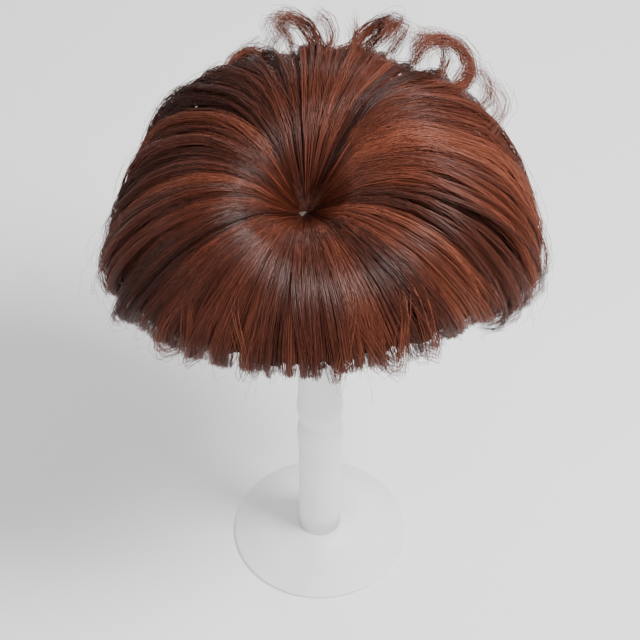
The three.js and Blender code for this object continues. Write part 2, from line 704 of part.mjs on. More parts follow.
const hairTop = material(HAIR_COLOUR, 0.45);
const hairDark = material(HAIR_DARK, 0.5);
const lace = material(LACE_COLOUR, 0.85);
const mono = material(MONO_COLOUR, 0.7);
const tape = material(TAPE_COLOUR, 0.9);
const steel = material(STEEL_COLOUR, 0.35, 0.9);
const plastic = material(STAND_COLOUR, 0.4);

const group = new THREE.Group();

function put(name, geometry, finish, parent = group) {
  const mesh = new THREE.Mesh(geometry, finish);
  mesh.name = name;
  parent.add(mesh);
}

put('stand_foot', standFoot(), plastic);
put('stand_post', standPost(), plastic);
put('stand_knob', standKnob(), plastic);
put('lace_lining', laceLining(), lace);
put('mono_top', monoTop(), mono);
put('edge_binding', edgeBinding(), tape);
put('elastic_band', rearBand(ELASTIC_INSET, ELASTIC_WIDTH, ELASTIC_THICKNESS), tape);
put('weft_outer', rearBand(WEFT_OUTER_INSET, WEFT_WIDTH, WEFT_THICKNESS), hairDark);
put('weft_inner', rearBand(WEFT_INNER_INSET, WEFT_WIDTH, WEFT_THICKNESS), hairDark);
TAB_ANGLES.forEach((angle, n) => put(`lace_tab_${n + 1}`, laceTab(angle), lace));

const frontY = CAP_WIDEST_Y - CAP_FRONT_DEPTH + CLIP_INSET + CLIP_DEPTH / 2;
const rearY = CAP_WIDEST_Y + CAP_REAR_DEPTH - CLIP_INSET - CLIP_DEPTH / 2;
const CLIPS = [
  { side: 'left', x: -CLIP_SIDE_X, y: frontY, facing: -90 },
  { side: 'right', x: CLIP_SIDE_X, y: frontY, facing: -90 },
  { side: 'back', x: 0, y: rearY, facing: 90 },
];
for (const { side, x, y, facing } of CLIPS) {
  const clip = clipGroup(x, y, facing);
  put(`clip_frame_${side}`, clipFrame(), steel, clip);
  put(`clip_comb_${side}`, clipComb(), steel, clip);
  group.add(clip);
}

HAIR_NODES.forEach((node, n) => {
  const next = HAIR_NODES[n + 1] ?? { from: HAIR_NODES[0].from + TURN };
  put(node.name, hairNode(node, next.from), hairTop);
});

export default group;
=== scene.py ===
"""Looks of a short layered hair topper that rests on a plain white post stand.

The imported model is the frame: its cap, clips and stand give every place and size. Each lock of hair
is drawn strand by strand in the space that the frame's hair holds.
"""

import math

import bmesh
import bpy
import numpy as np
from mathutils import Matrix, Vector


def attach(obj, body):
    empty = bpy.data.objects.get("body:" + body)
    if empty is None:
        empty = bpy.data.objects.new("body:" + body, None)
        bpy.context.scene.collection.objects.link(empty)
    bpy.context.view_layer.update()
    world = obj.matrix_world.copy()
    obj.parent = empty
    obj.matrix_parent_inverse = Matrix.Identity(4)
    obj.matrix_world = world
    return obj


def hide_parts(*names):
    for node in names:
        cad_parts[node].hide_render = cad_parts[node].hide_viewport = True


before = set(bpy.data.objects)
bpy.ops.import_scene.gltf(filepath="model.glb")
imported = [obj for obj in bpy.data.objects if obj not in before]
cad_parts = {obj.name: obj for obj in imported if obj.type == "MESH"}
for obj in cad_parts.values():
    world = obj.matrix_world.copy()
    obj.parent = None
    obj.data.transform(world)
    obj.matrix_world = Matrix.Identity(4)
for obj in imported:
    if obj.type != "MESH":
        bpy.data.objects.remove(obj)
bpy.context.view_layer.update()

bl_info = {
    "name": "Hair Topper on a Stand",
    "version": (1, 0, 0),
    "blender": (4, 5, 0),
    "location": "3D View > Sidebar > Topper",
    "description": "Builds the hair, lace cap, clips and stand of a hair topper around its frame",
    "category": "Add Mesh",
}

MM = 0.001
TURN = 360.0
ROOT = "topper_and_stand"
CLIP_SIDES = ("left", "right", "back")

# The cap's dome and outline, as the frame has them
CAP_TOP = 362 * MM
CAP_WIDTH = 136 * MM
CAP_FRONT_DEPTH = 28 * MM
CAP_REAR_DEPTH = 128 * MM
CAP_WIDEST_Y = -46 * MM
DOME_Y = 4 * MM
DOME_HALF_WIDTH = 115 * MM
DOME_HALF_DEPTH = 125 * MM
DOME_HEIGHT = 100 * MM
FRONT_SQUARENESS = 3.2
REAR_SQUARENESS = 2.3

# The cap's cloth: how far inside the rim each band starts, its width, and how high it lies
CLEARANCE = 0.3 * MM
LACE_THICKNESS = 1 * MM
BINDING = {"inset": 0, "width": 9 * MM, "low": -1.5 * MM, "high": 0.5 * MM}
WEFTS = {
    "weft_outer": {"inset": 12 * MM, "width": 3 * MM, "low": -1.2 * MM, "high": 0},
    "weft_inner": {"inset": 18 * MM, "width": 3 * MM, "low": -1.2 * MM, "high": 0},
}
WEFT_HAIRS = 620
ELASTIC = {"inset": 24 * MM, "width": 11 * MM, "low": -1.5 * MM, "high": 0}
BAND_END = 0.6
LINING_CENTRE = np.array([0.0, -50 * MM])
MONO_CENTRE = np.array([0.0, -28 * MM])
MONO_HALF = np.array([31 * MM, 37 * MM])
MONO_LOW = 0.5 * MM
MONO_HIGH = 1.5 * MM
TAB_ANGLES = (13, 31, 49, 66, 114, 131, 149, 167)
TAB_WIDTH = 9 * MM
TAB_START = 6.5 * MM
TAB_END = 26.5 * MM
TAB_LOW = -2.8 * MM
TAB_HIGH = -1.8 * MM
FLOWER_COUNT = 42
FLOWER_SPACE = 11 * MM

# The stand
FOOT_RADIUS = 62 * MM
FOOT_HEIGHT = 12 * MM
FOOT_EDGE = 3 * MM
FOOT_SHOULDER_RADIUS = 38 * MM
FOOT_SHOULDER_HEIGHT = 6.6 * MM
COLLAR_WIDTH = 6 * MM
COLLAR_HEIGHT = 10 * MM
POST_RADIUS = 15 * MM
POST_BULGE = 1.1 * MM
POST_PINCH = 1.6 * MM
BULGE_LENGTH = 26 * MM
PINCH_Z = 128 * MM
KNOB_RADIUS = 30 * MM
KNOB_CROWN_RADIUS = 52 * MM
KNOB_HEIGHT = 22 * MM
KNOB_TOP = CAP_TOP - LACE_THICKNESS - 3 * CLEARANCE

# Where the hair springs from, and how far it reaches, rises and drops, as in the frame
WHORL = np.array([-10 * MM, -34 * MM])
HAIR_SEAT = 7.4 * MM
HAIR_ROOT = 1.7 * MM
ROOT_DEPTH = 9 * MM
HAIR_REACH = 155 * MM
HAIR_LIFT = 27 * MM
HAIR_DROP = 78 * MM
HAIR_TUCK = 16 * MM
UNDER_REACH = 0.82
UNDER_LIFT = 0.25
HAIR_HEART = np.array([0.0, DOME_Y, CAP_TOP - DOME_HEIGHT])

SECTION_KEYS = ("azimuth", "reach", "lift", "drop", "under", "tuck", "sweep", "hang")
SECTIONS = np.array([
    (0, 0.59, 0.22, 0.84, 0.80, 0.50, 0, 1.0),
    (30, 0.61, 0.30, 0.88, 0.86, 0.50, 6, 1.0),
    (56, 0.74, 0.56, 0.98, 1.00, 0.80, 14, 1.0),
    (84, 0.90, 0.90, 1.06, 1.16, 1.00, 0, 1.1),
    (112, 0.94, 1.20, 1.12, 1.26, 0.95, -20, 1.4),
    (132, 0.99, 1.44, 1.18, 1.36, 0.90, -12, 1.9),
    (148, 0.98, 1.30, 1.22, 1.38, 0.95, 10, 2.3),
    (164, 0.98, 1.30, 1.26, 1.42, 1.00, 4, 2.6),
    (186, 0.95, 1.26, 1.26, 1.42, 1.00, 8, 2.6),
    (204, 0.88, 1.20, 1.22, 1.38, 0.90, 28, 2.4),
    (226, 0.79, 1.12, 1.14, 1.28, 0.80, 20, 1.9),
    (252, 0.78, 0.96, 1.06, 1.16, 0.90, 4, 1.3),
    (276, 0.80, 0.74, 1.00, 1.06, 1.00, -4, 1.1),
    (298, 0.74, 0.52, 0.96, 0.96, 0.90, -12, 1.0),
    (330, 0.62, 0.30, 0.88, 0.84, 0.50, -4, 1.0),
])

PROFILE_KEYS = ("along", "reach", "lift", "drop", "tuck")
PROFILE = np.array([
    (0.00, 0.00, 0.00, 0.00, 0.00),
    (0.08, 0.11, 0.40, 0.00, 0.00),
    (0.24, 0.32, 0.92, 0.00, 0.00),
    (0.40, 0.54, 1.00, 0.07, 0.00),
    (0.56, 0.75, 0.76, 0.22, 0.00),
    (0.71, 0.91, 0.42, 0.46, 0.00),
    (0.86, 0.99, 0.12, 0.76, 0.10),
    (1.00, 1.00, 0.00, 1.00, 1.00),
])

# The parting runs back from the whorl, then turns to the right
PARTING = np.array([(0, 0), (1 * MM, 14 * MM), (26 * MM, 42 * MM)])
PARTING_DEPTH = 7 * MM
PARTING_WIDTH = 5 * MM

# Hair in a direction is rooted between two shares of the parting: azimuth, from, to
PARTING_SHARES = np.array([
    (80, 0.00, 0.05), (110, 0.00, 0.40), (130, 0.00, 0.90), (141, 0.05, 1.00), (152, 0.00, 1.00),
    (166, 0.00, 0.80), (180, 0.00, 0.60), (192, 0.00, 0.50), (212, 0.00, 0.36),
    (234, 0.00, 0.20), (258, 0.00, 0.00),
])

# How light the hair is by direction: ridges that face the light, and the folds between them
TONES = np.array([
    (0, 0.46), (15, 0.42), (28, 0.58), (44, 0.16), (57, 0.74), (70, 0.56), (84, 0.46), (100, 0.62),
    (112, 0.68), (122, 0.52), (131, 0.62), (140, 0.10), (150, 0.50), (163, 0.66), (178, 0.56),
    (188, 0.34), (198, 0.54), (207, 0.14), (216, 0.18), (224, 0.78), (232, 0.40), (240, 0.66),
    (248, 0.26), (257, 0.52), (266, 0.62), (276, 0.34), (286, 0.70), (297, 0.22), (309, 0.42),
    (320, 0.34), (336, 0.52), (350, 0.46), (360, 0.46),
])

# Loose curls: where a lock ends and the loop that its tip makes, as the frame draws them
CURL_KEYS = ("azimuth", "reach", "height", "radius", "from", "turn", "lean")
CURLS = [dict(zip(CURL_KEYS, row)) for row in (
    (133, 0.98, 0.74, 0.66, 0, 235, 62),
    (164, 0.99, 0.72, 0.50, 0, 250, -58),
    (178, 0.98, 0.70, 0.48, 0, 235, 60),
    (203, 0.96, 0.34, 0.42, 0, 200, -70),
)]

# Shorter tips that fill the space round the curls, in the same terms
CURLED_TIPS = [dict(zip(CURL_KEYS, row)) for row in (
    (118, 0.97, 0.50, 0.44, 0, 170, 60),
    (125, 0.97, 0.62, 0.52, 0, 200, 66),
    (139, 0.97, 0.66, 0.50, 0, 210, 48),
    (148, 0.96, 0.62, 0.36, 0, 150, 20),
    (156, 0.96, 0.60, 0.32, 0, 160, -25),
    (161, 0.97, 0.66, 0.40, 0, 200, -40),
    (168, 0.96, 0.62, 0.30, 0, 140, 10),
    (173, 0.97, 0.64, 0.36, 0, 190, 35),
    (182, 0.96, 0.60, 0.32, 0, 150, 48),
    (190, 0.95, 0.48, 0.30, 0, 150, -40),
    (197, 0.96, 0.40, 0.34, 0, 170, -60),
    (210, 0.96, 0.30, 0.34, 0, 180, -76),
    (306, 0.98, -1.40, 0.42, 70, 330, 170),
    (317, 1.00, -1.35, 0.36, 70, 320, 190),
    (338, 1.00, -1.50, 0.28, 70, 300, 175),
    (14, 1.00, -1.50, 0.30, 70, 300, 185),
    (28, 1.00, -1.40, 0.40, 70, 320, 170),
    (37, 1.00, -1.40, 0.44, 70, 330, 185),
    (47, 0.98, -1.45, 0.38, 70, 310, 175),
)]

# Tresses, strands and points of a strand in a loose curl and in a shorter tip
CURL_STRANDS = (6, 26, 14)
TIP_STRANDS = (3, 15, 14)

# Hair pieces: directions, how deep they lie, the share where the shortest start, then locks of
# tresses of strands and the points of a strand
HAIR_KEYS = (
    "node", "place", "from", "to", "shallow", "deep", "start", "locks", "tresses", "strands", "points",
)
HAIR_PIECES = [dict(zip(HAIR_KEYS, row)) for row in (
    ("hair_fringe", "top", 302, 418, 0.0, 0.1, 0.02, 24, 3, 34, 10),
    ("hair_fringe", "under", 302, 418, 0.1, 0.8, 0.02, 36, 2, 11, 10),
    ("hair_right", "top", 58, 108, 0.0, 0.1, 0.02, 11, 4, 28, 11),
    ("hair_right", "under", 58, 108, 0.3, 1.0, 0.02, 8, 3, 12, 7),
    ("hair_right_back", "top", 108, 141, 0.0, 0.1, 0.02, 9, 4, 34, 11),
    ("hair_right_back", "under", 108, 150, 0.3, 1.0, 0.02, 8, 3, 12, 7),
    ("hair_tuft", "top", 141, 190, 0.0, 0.1, 0.02, 12, 4, 28, 11),
    ("hair_tuft", "under", 150, 190, 0.3, 1.0, 0.02, 7, 3, 12, 7),
    ("hair_left_back", "top", 190, 244, 0.0, 0.1, 0.02, 13, 4, 28, 11),
    ("hair_left_back", "under", 190, 244, 0.3, 1.0, 0.02, 10, 3, 12, 7),
    ("hair_left", "top", 244, 302, 0.0, 0.1, 0.02, 12, 4, 28, 11),
    ("hair_left", "under", 244, 302, 0.3, 1.0, 0.02, 9, 3, 12, 7),
    ("hair_right", "hem", 78, 108, 0.05, 0.6, 0.62, 9, 2, 11, 6),
    ("hair_right_back", "hem", 108, 141, 0.05, 0.6, 0.62, 10, 2, 11, 6),
    ("hair_tuft", "hem", 141, 190, 0.05, 0.6, 0.62, 15, 2, 11, 6),
    ("hair_left_back", "hem", 190, 244, 0.05, 0.6, 0.62, 16, 2, 11, 6),
    ("hair_left", "hem", 244, 278, 0.05, 0.6, 0.62, 9, 2, 11, 6),
)]

# How a kind of hair lies: sizes in metres, angles in degrees, the rest as shares
LOOK = {
    "longest": 1.0, "relief": 3.0 * MM, "ridge": 3.0 * MM, "thickness": 1.6 * MM, "shortest": 0.93,
    "rooting": 0.22, "overlap": 1.35, "stray": 4.0, "crossing": 0.10, "crossing_turn": 14.0,
    "wave": 2.0 * MM, "wander": 0.7 * MM, "curl_from": 0.78, "curl": (15, 85), "grip": (0.1, 0.45),
    "tress_grip": (0.15, 0.6),
}
LOOK_BEHIND = {"shortest": 0.975, "longest": 1.03, "curl_from": 0.86, "curl": (0, 45),
               "tress_grip": (0.1, 0.5)}
LOOKS = {
    "hair_fringe": {**LOOK, "relief": 0.9 * MM, "ridge": 0.8 * MM, "thickness": 0.9 * MM,
                    "overlap": 2.0, "stray": 2.5, "crossing": 0.06, "wave": 0.9 * MM, "rooting": 0.30,
                    "wander": 0.45 * MM, "curl_from": 0.80, "curl": (50, 165), "grip": (0.0, 0.12),
                    "tress_grip": (0.0, 0.3), "shortest": 0.95},
    "hair_right": {**LOOK, "crossing": 0.24},
    "hair_right_back": {**LOOK, **LOOK_BEHIND, "crossing": 0.16},
    "hair_tuft": {**LOOK, **LOOK_BEHIND, "crossing": 0.06, "stray": 2.5, "relief": 2.0 * MM},
    "hair_left_back": {**LOOK, **LOOK_BEHIND, "relief": 3.6 * MM, "ridge": 3.6 * MM, "crossing": 0.05},
    "hair_left": {**LOOK, "relief": 3.4 * MM, "ridge": 3.4 * MM, "crossing": 0.08},
}
LOOK_HEM = {"shortest": 0.96, "longest": 1.04, "relief": 1.6 * MM, "ridge": 1.2 * MM, "overlap": 2.2,
            "rooting": 0.12, "grip": (0.0, 0.3), "curl": (0, 30), "curl_from": 0.86}


# Numbers

def hermite(a, b, slope_a, slope_b, share):
    """Smooth value between a and b."""
    s2, s3 = share**2, share**3
    return (a * (2 * s3 - 3 * s2 + 1) + slope_a * (s3 - 2 * s2 + share)
            + b * (3 * s2 - 2 * s3) + slope_b * (s3 - s2))


def smoothstep(low, high, value):
    """0 below low, 1 above high, smooth between."""
    share = np.clip((value - low) / (high - low), 0, 1)
    return share * share * (3 - 2 * share)


def signed_power(value, power):
    """A power that keeps the sign."""
    return np.sign(value) * np.abs(value)**power


def unit(vectors):
    """Vectors of length one."""
    return vectors / np.maximum(np.linalg.norm(vectors, axis=-1, keepdims=True), 1e-12)


def lengths_along(line):
    """How far along a line each of its points is."""
    return np.concatenate([[0], np.cumsum(np.linalg.norm(np.diff(line, axis=0), axis=1))])


def smooth_line(line, count):
    """Evenly spaced points on a smooth curve through a line."""
    knots = lengths_along(line)
    at = np.linspace(0, knots[-1], count)
    n = np.clip(np.searchsorted(knots, at, side="right") - 1, 0, len(knots) - 2)
    slopes = np.gradient(line, knots, axis=0)
    span = (knots[n + 1] - knots[n])[:, None]
    share = (at - knots[n])[:, None] / span
    return hermite(line[n], line[n + 1], slopes[n] * span, slopes[n + 1] * span, share)


# Shapes of the cap

def dome_height(x, y, lift=0.0):
    """Height of the cap's dome, with its surface raised by lift."""
    across = x / (DOME_HALF_WIDTH + lift)
    along = (y - DOME_Y) / (DOME_HALF_DEPTH + lift)
    share = np.clip(1 - across**2 - along**2, 0, None)
    return CAP_TOP - DOME_HEIGHT + (DOME_HEIGHT + lift) * np.sqrt(share)


def on_dome(plan, lift):
    """Points over places in plan, raised from the dome."""
    x, y = plan[..., 0], plan[..., 1]
    return np.stack([x, y, dome_height(x, y, lift)], axis=-1)


def cap_outline(angle, inset):
    """The cap's outline moved inwards by inset; angle 0 is the right side and 90 the rear."""
    across, along = np.cos(np.radians(angle)), np.sin(np.radians(angle))
    rear = along >= 0
    power = 2 / np.where(rear, REAR_SQUARENESS, FRONT_SQUARENESS)
    depth = np.where(rear, CAP_REAR_DEPTH, CAP_FRONT_DEPTH) - inset
    return np.stack([(CAP_WIDTH / 2 - inset) * signed_power(across, power),
                     CAP_WIDEST_Y + depth * signed_power(along, power)], axis=-1)


def rim_angles(inset, start, end, count):
    """Angles that space points evenly along the rim; a whole turn leaves out its last point."""
    dense = np.linspace(start, end, 4001)
    run = lengths_along(cap_outline(dense, inset))
    whole = end - start >= TURN
    steps = np.linspace(0, run[-1], count, endpoint=not whole)
    return np.interp(steps, run, dense)


# Meshes

def mesh_object(name, points, faces_of, smooth=True, attributes=None):
    """An object from points and arrays of faces, each array with its own number of corners."""
    mesh = bpy.data.meshes.new(name)
    loops = np.concatenate([faces.ravel() for faces in faces_of])
    totals = np.concatenate([np.full(len(faces), faces.shape[1]) for faces in faces_of])
    starts = np.concatenate([[0], np.cumsum(totals)[:-1]])
    mesh.vertices.add(len(points))
    mesh.vertices.foreach_set("co", np.ascontiguousarray(points, dtype=np.float32).ravel())
    mesh.loops.add(len(loops))
    mesh.loops.foreach_set("vertex_index", loops.astype(np.int32))
    mesh.polygons.add(len(totals))
    mesh.polygons.foreach_set("loop_start", starts.astype(np.int32))
    mesh.polygons.foreach_set("loop_total", totals.astype(np.int32))
    mesh.polygons.foreach_set("use_smooth", np.full(len(totals), smooth))
    for key, values in (attributes or {}).items():
        layer = mesh.attributes.new(key, "FLOAT", "POINT")
        layer.data.foreach_set("value", np.ascontiguousarray(values, dtype=np.float32))
    mesh.update(calc_edges=True)
    mesh.validate()
    obj = bpy.data.objects.new(name, mesh)
    bpy.context.scene.collection.objects.link(obj)
    return obj


def face_out(obj):
    """Turns every face of a closed mesh outwards."""
    mesh = bmesh.new()
    mesh.from_mesh(obj.data)
    bmesh.ops.recalc_face_normals(mesh, faces=mesh.faces)
    mesh.to_mesh(obj.data)
    mesh.free()
    return obj


def loft_faces(rings, count, whole=False):
    """Faces of a closed body through rings, which end in caps or, where whole, meet again."""
    k, s = np.meshgrid(np.arange(rings if whole else rings - 1), np.arange(count), indexing="ij")
    after, beside = (k + 1) % rings, (s + 1) % count
    quads = np.stack([k * count + s, k * count + beside, after * count + beside, after * count + s], -1)
    if whole:
        return [quads.reshape(-1, 4)]
    ends = np.stack([np.arange(count)[::-1], (rings - 1) * count + np.arange(count)])
    return [quads.reshape(-1, 4), ends]


def join_parts(parts):
    """One set of points and faces from many."""
    points, faces, shift = [], [], 0
    for part_points, part_faces in parts:
        points.append(part_points)
        faces += [array + shift for array in part_faces]
        shift += len(part_points)
    return np.concatenate(points), faces


def tubes(paths, radii, sides):
    """Closed round rods along paths of shape (rod, point, xyz), with a radius at each point."""
    count, length, _ = paths.shape
    ahead = unit(np.gradient(paths, axis=1))
    side = np.empty_like(paths)
    side[:, 0] = unit(np.cross(ahead[:, 0], unit(paths[:, 0] - HAIR_HEART)))
    for k in range(1, length):
        carried = side[:, k - 1] - ahead[:, k] * np.sum(side[:, k - 1] * ahead[:, k], -1, keepdims=True)
        side[:, k] = unit(carried)
    up = np.cross(side, ahead)
    angles = 2 * math.pi * np.arange(sides) / sides
    rings = side[:, :, None] * np.cos(angles)[:, None] + up[:, :, None] * np.sin(angles)[:, None]
    rings = paths[:, :, None] + rings * radii[..., None, None]
    shift = (np.arange(count) * length * sides)[:, None, None]
    faces = [(array[None] + shift).reshape(-1, array.shape[1]) for array in loft_faces(length, sides)]
    return rings.reshape(-1, 3), [array[:, ::-1] for array in faces]


def lathe(name, profile, sides):
    """A body turned round the stand's axis from a profile of radius and height."""
    line = np.array(profile)
    angles = 2 * math.pi * np.arange(sides) / sides
    rings = np.stack([line[:, None, 0] * np.cos(angles), line[:, None, 0] * np.sin(angles),
                      np.broadcast_to(line[:, None, 1], (len(line), sides))], -1)
    return face_out(mesh_object(name, rings.reshape(-1, 3), loft_faces(len(line), sides)))


def band_section(band, corners, squareness=0.5):
    """Rounded section of a band as places across it and heights."""
    turns = 2 * math.pi * (np.arange(corners) + 0.5) / corners
    middle, half = (band["low"] + band["high"]) / 2, (band["high"] - band["low"]) / 2
    return (band["width"] / 2 * (1 + signed_power(np.cos(turns), squareness)),
            middle + half * signed_power(np.sin(turns), squareness))


def swept_band(name, band, start, end, count, corners, ripple=None):
    """A band that follows the rim; ripple changes its height by place along and across it."""
    across, lift = band_section(band, corners)
    whole = end - start >= TURN
    angles = rim_angles(band["inset"] + band["width"] / 2, start, end, count)
    insets = np.broadcast_to(band["inset"] + across, (count, corners))
    lifts = np.broadcast_to(lift, (count, corners))
    if ripple is not None:
        lifts = lifts + ripple(np.arange(count)[:, None], across[None])
    points = on_dome(cap_outline(angles[:, None], insets), lifts).reshape(-1, 3)
    return face_out(mesh_object(name, points, loft_faces(count, corners, whole)))


def sheet_object(name, centre, outline, low, high, rings):
    """A cloth on the dome inside an outline, with its lower and upper faces."""
    shares = np.concatenate([[0.01], np.linspace(0, 1, rings + 1)[1:]])
    flat = centre + (outline[None] - centre) * shares[:, None, None]
    lower, upper = on_dome(flat, low), on_dome(flat, high)
    points = np.concatenate([lower, upper[::-1]])
    return face_out(mesh_object(name, points.reshape(-1, 3), loft_faces(len(points), len(outline))))


def stitches(angles, inset, low, length, thread):
    """Rounded threads in a row along the rim on the cap's underside."""
    share = np.linspace(-1, 1, 5)
    run = lengths_along(cap_outline(np.linspace(0, TURN, 721), inset))[-1]
    at = angles[:, None] + share * length / run * TURN / 2
    lift = low - thread * 0.3 + thread * 0.8 * share**2
    paths = on_dome(cap_outline(at, np.full_like(at, inset)), np.broadcast_to(lift, at.shape))
    radii = np.broadcast_to(thread / 2 * (1 - 0.5 * share**4), at.shape)
    return tubes(paths, radii, 6)


def petal(centre, angle, length, width, low):
    """A thin raised leaf of lace thread on the cap's underside."""
    turns = 2 * math.pi * np.arange(12) / 12
    along = length * (0.5 - 0.5 * np.cos(turns))
    aside = width / 2 * np.sin(turns)
    ahead = np.array([math.cos(angle), math.sin(angle)])
    across = np.array([-ahead[1], ahead[0]])
    plan = centre + ahead * along[:, None] + across * aside[:, None]
    middle = plan.mean(axis=0)
    rings = [on_dome(plan, low + 0.3 * MM), on_dome(plan, low - 0.15 * MM),
             on_dome(middle + (plan - middle) * 0.7, low - 0.4 * MM)]
    return np.concatenate(rings), loft_faces(3, 12)


def rounded_copy(name, node, width):
    """A copy of a frame piece with its edges rounded over."""
    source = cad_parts[node]
    mesh = bmesh.new()
    mesh.from_mesh(source.data)
    mesh.transform(source.matrix_world)
    bmesh.ops.remove_doubles(mesh, verts=mesh.verts, dist=0.01 * MM)
    bmesh.ops.dissolve_limit(mesh, angle_limit=math.radians(1), verts=mesh.verts, edges=mesh.edges)
    sharp = [edge for edge in mesh.edges if edge.calc_face_angle(0) > math.radians(25)]
    bmesh.ops.bevel(
        mesh, geom=sharp, offset=width, segments=2, profile=0.6, affect="EDGES", clamp_overlap=True)
    bmesh.ops.triangulate(mesh, faces=[face for face in mesh.faces if len(face.verts) > 4])
    data = bpy.data.meshes.new(name)
    mesh.to_mesh(data)
    mesh.free()
    obj = bpy.data.objects.new(name, data)
    bpy.context.scene.collection.objects.link(obj)
    return obj


def fit(obj, slot, material, *nodes, body=ROOT):
    """Gives a piece its body, its material and the frame nodes that it stands for."""
    obj.data.materials.clear()
    obj.data.materials.append(material)
    if nodes:
        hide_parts(*nodes)
    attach(obj, body)


# Hair

WHORL_Z = float(dome_height(WHORL[0], WHORL[1], HAIR_SEAT))
# The share of a strand that can lie over the cap; past it the hair hangs free
OVER_CAP = 0.62
# How far a flyaway strand strays, and how many points go round the backing
STRAY = 4.5 * MM
BASE_SPOKES = 240


def section_at(azimuth):
    """Rows of the section table at any directions."""
    turned = np.mod(azimuth, TURN)
    count = len(SECTIONS)
    n = np.searchsorted(SECTIONS[:, 0], turned, side="right") - 1
    a, b, c, d = (SECTIONS[(n + k) % count] for k in (-1, 0, 1, 2))
    span = np.mod(c[..., 0] - b[..., 0], TURN)
    share = ((turned - b[..., 0]) / span)[..., None]
    mixed = hermite(b, c, (c - a) / 2, (d - b) / 2, share)
    return {key: mixed[..., k] for k, key in enumerate(SECTION_KEYS)}


def profile_at(along):
    """Columns of the side profile at any share of the length."""
    keys = PROFILE[:, 0]
    n = np.clip(np.searchsorted(keys, along, side="right") - 1, 0, len(keys) - 2)
    span = (keys[n + 1] - keys[n])[..., None]
    slopes = np.gradient(PROFILE, keys, axis=0)
    share = (along - keys[n])[..., None] / span
    mixed = hermite(PROFILE[n], PROFILE[n + 1], slopes[n] * span, slopes[n + 1] * span, share)
    return {key: mixed[..., k] for k, key in enumerate(PROFILE_KEYS)}


def hair_path(azimuth, layer, along):
    """Points along the hair in a direction; layer 0 is the top hair and 1 the shortest beneath."""
    row = section_at(azimuth)
    share = profile_at(along)
    reach = HAIR_REACH * row["reach"] * (1 + (UNDER_REACH - 1) * layer)
    lift = HAIR_LIFT * row["lift"] * (1 + (UNDER_LIFT - 1) * layer)
    drop = HAIR_DROP * (row["drop"] + (row["under"] - row["drop"]) * layer)
    away = reach * share["reach"] - HAIR_TUCK * row["tuck"] * share["tuck"]
    turned = np.radians(azimuth + row["sweep"] * along**2)
    fallen = np.clip(share["drop"], 0, None)**row["hang"]
    return np.stack([
        WHORL[0] + away * np.sin(turned),
        WHORL[1] - away * np.cos(turned),
        WHORL_Z + lift * share["lift"] - drop * fallen,
    ], axis=-1)


def parting_shift(azimuth, share):
    """How far from the whorl, in plan, hair in a direction is rooted along the parting."""
    low = np.interp(azimuth, PARTING_SHARES[:, 0], PARTING_SHARES[:, 1])
    high = np.interp(azimuth, PARTING_SHARES[:, 0], PARTING_SHARES[:, 2])
    run = lengths_along(PARTING)
    at = (low + (high - low) * share) * run[-1]
    return np.stack([np.interp(at, run, PARTING[:, k]) for k in (0, 1)], axis=-1)


def surface_height(plan, layer):
    """Height of the hair over places in plan, for places above the hair's widest reach."""
    off = plan - WHORL
    azimuth = np.degrees(np.arctan2(off[..., 0], -off[..., 1]))
    reach = HAIR_REACH * section_at(azimuth)["reach"] * (1 + (UNDER_REACH - 1) * layer)
    along = np.interp(np.linalg.norm(off, axis=-1) / reach, PROFILE[:, 1], PROFILE[:, 0])
    return hair_path(azimuth, layer, along)[..., 2]


def parting_depth(plan):
    """How deep the parting's valley is at places in plan."""
    run = lengths_along(PARTING)
    at = np.linspace(0, run[-1], 24)
    line = WHORL + np.stack([np.interp(at, run, PARTING[:, k]) for k in (0, 1)], axis=-1)
    away = np.linalg.norm(plan[..., None, :] - line, axis=-1).min(axis=-1)
    begun = smoothstep(0, 14 * MM, np.linalg.norm(plan - WHORL, axis=-1))
    return PARTING_DEPTH * np.exp(-(away / PARTING_WIDTH)**2) * begun


def slow_noise(rng, count, along, waves, size):
    """Slow wander in three directions that starts from nothing."""
    step = np.arange(waves)[None, :, None]
    phase = rng.uniform(0, 2 * math.pi, (count, waves, 3))
    pace = rng.uniform(0.6, 1.0, (count, waves, 3)) * (step + 0.7)
    height = rng.normal(0, 1, (count, waves, 3)) / (step + 1)
    t = along[:, :, None, None] * 2 * math.pi
    drift = np.sum(height[:, None] * np.sin(pace[:, None] * t + phase[:, None]), axis=2)
    start = np.sum(height * np.sin(phase), axis=1)
    return (drift - start[:, None]) * size


def curl_tips(paths, along, turn, start):
    """Turns the last part of each strand in under itself."""
    steps = np.diff(paths, axis=1)
    out = paths[:, -1, :2] - WHORL
    axis = unit(np.stack([out[:, 1], -out[:, 0], np.zeros(len(out))], -1))[:, None]
    amount = turn[:, None] * smoothstep(start, 1.0, (along[:, 1:] + along[:, :-1]) / 2)
    cos, sin = np.cos(amount)[..., None], np.sin(amount)[..., None]
    axis = np.broadcast_to(axis, steps.shape)
    kept = axis * np.sum(axis * steps, -1, keepdims=True)
    turned = steps * cos - np.cross(axis, steps) * sin + kept * (1 - cos)
    return np.concatenate([paths[:, :1], paths[:, :1] + np.cumsum(turned, axis=1)], axis=1)


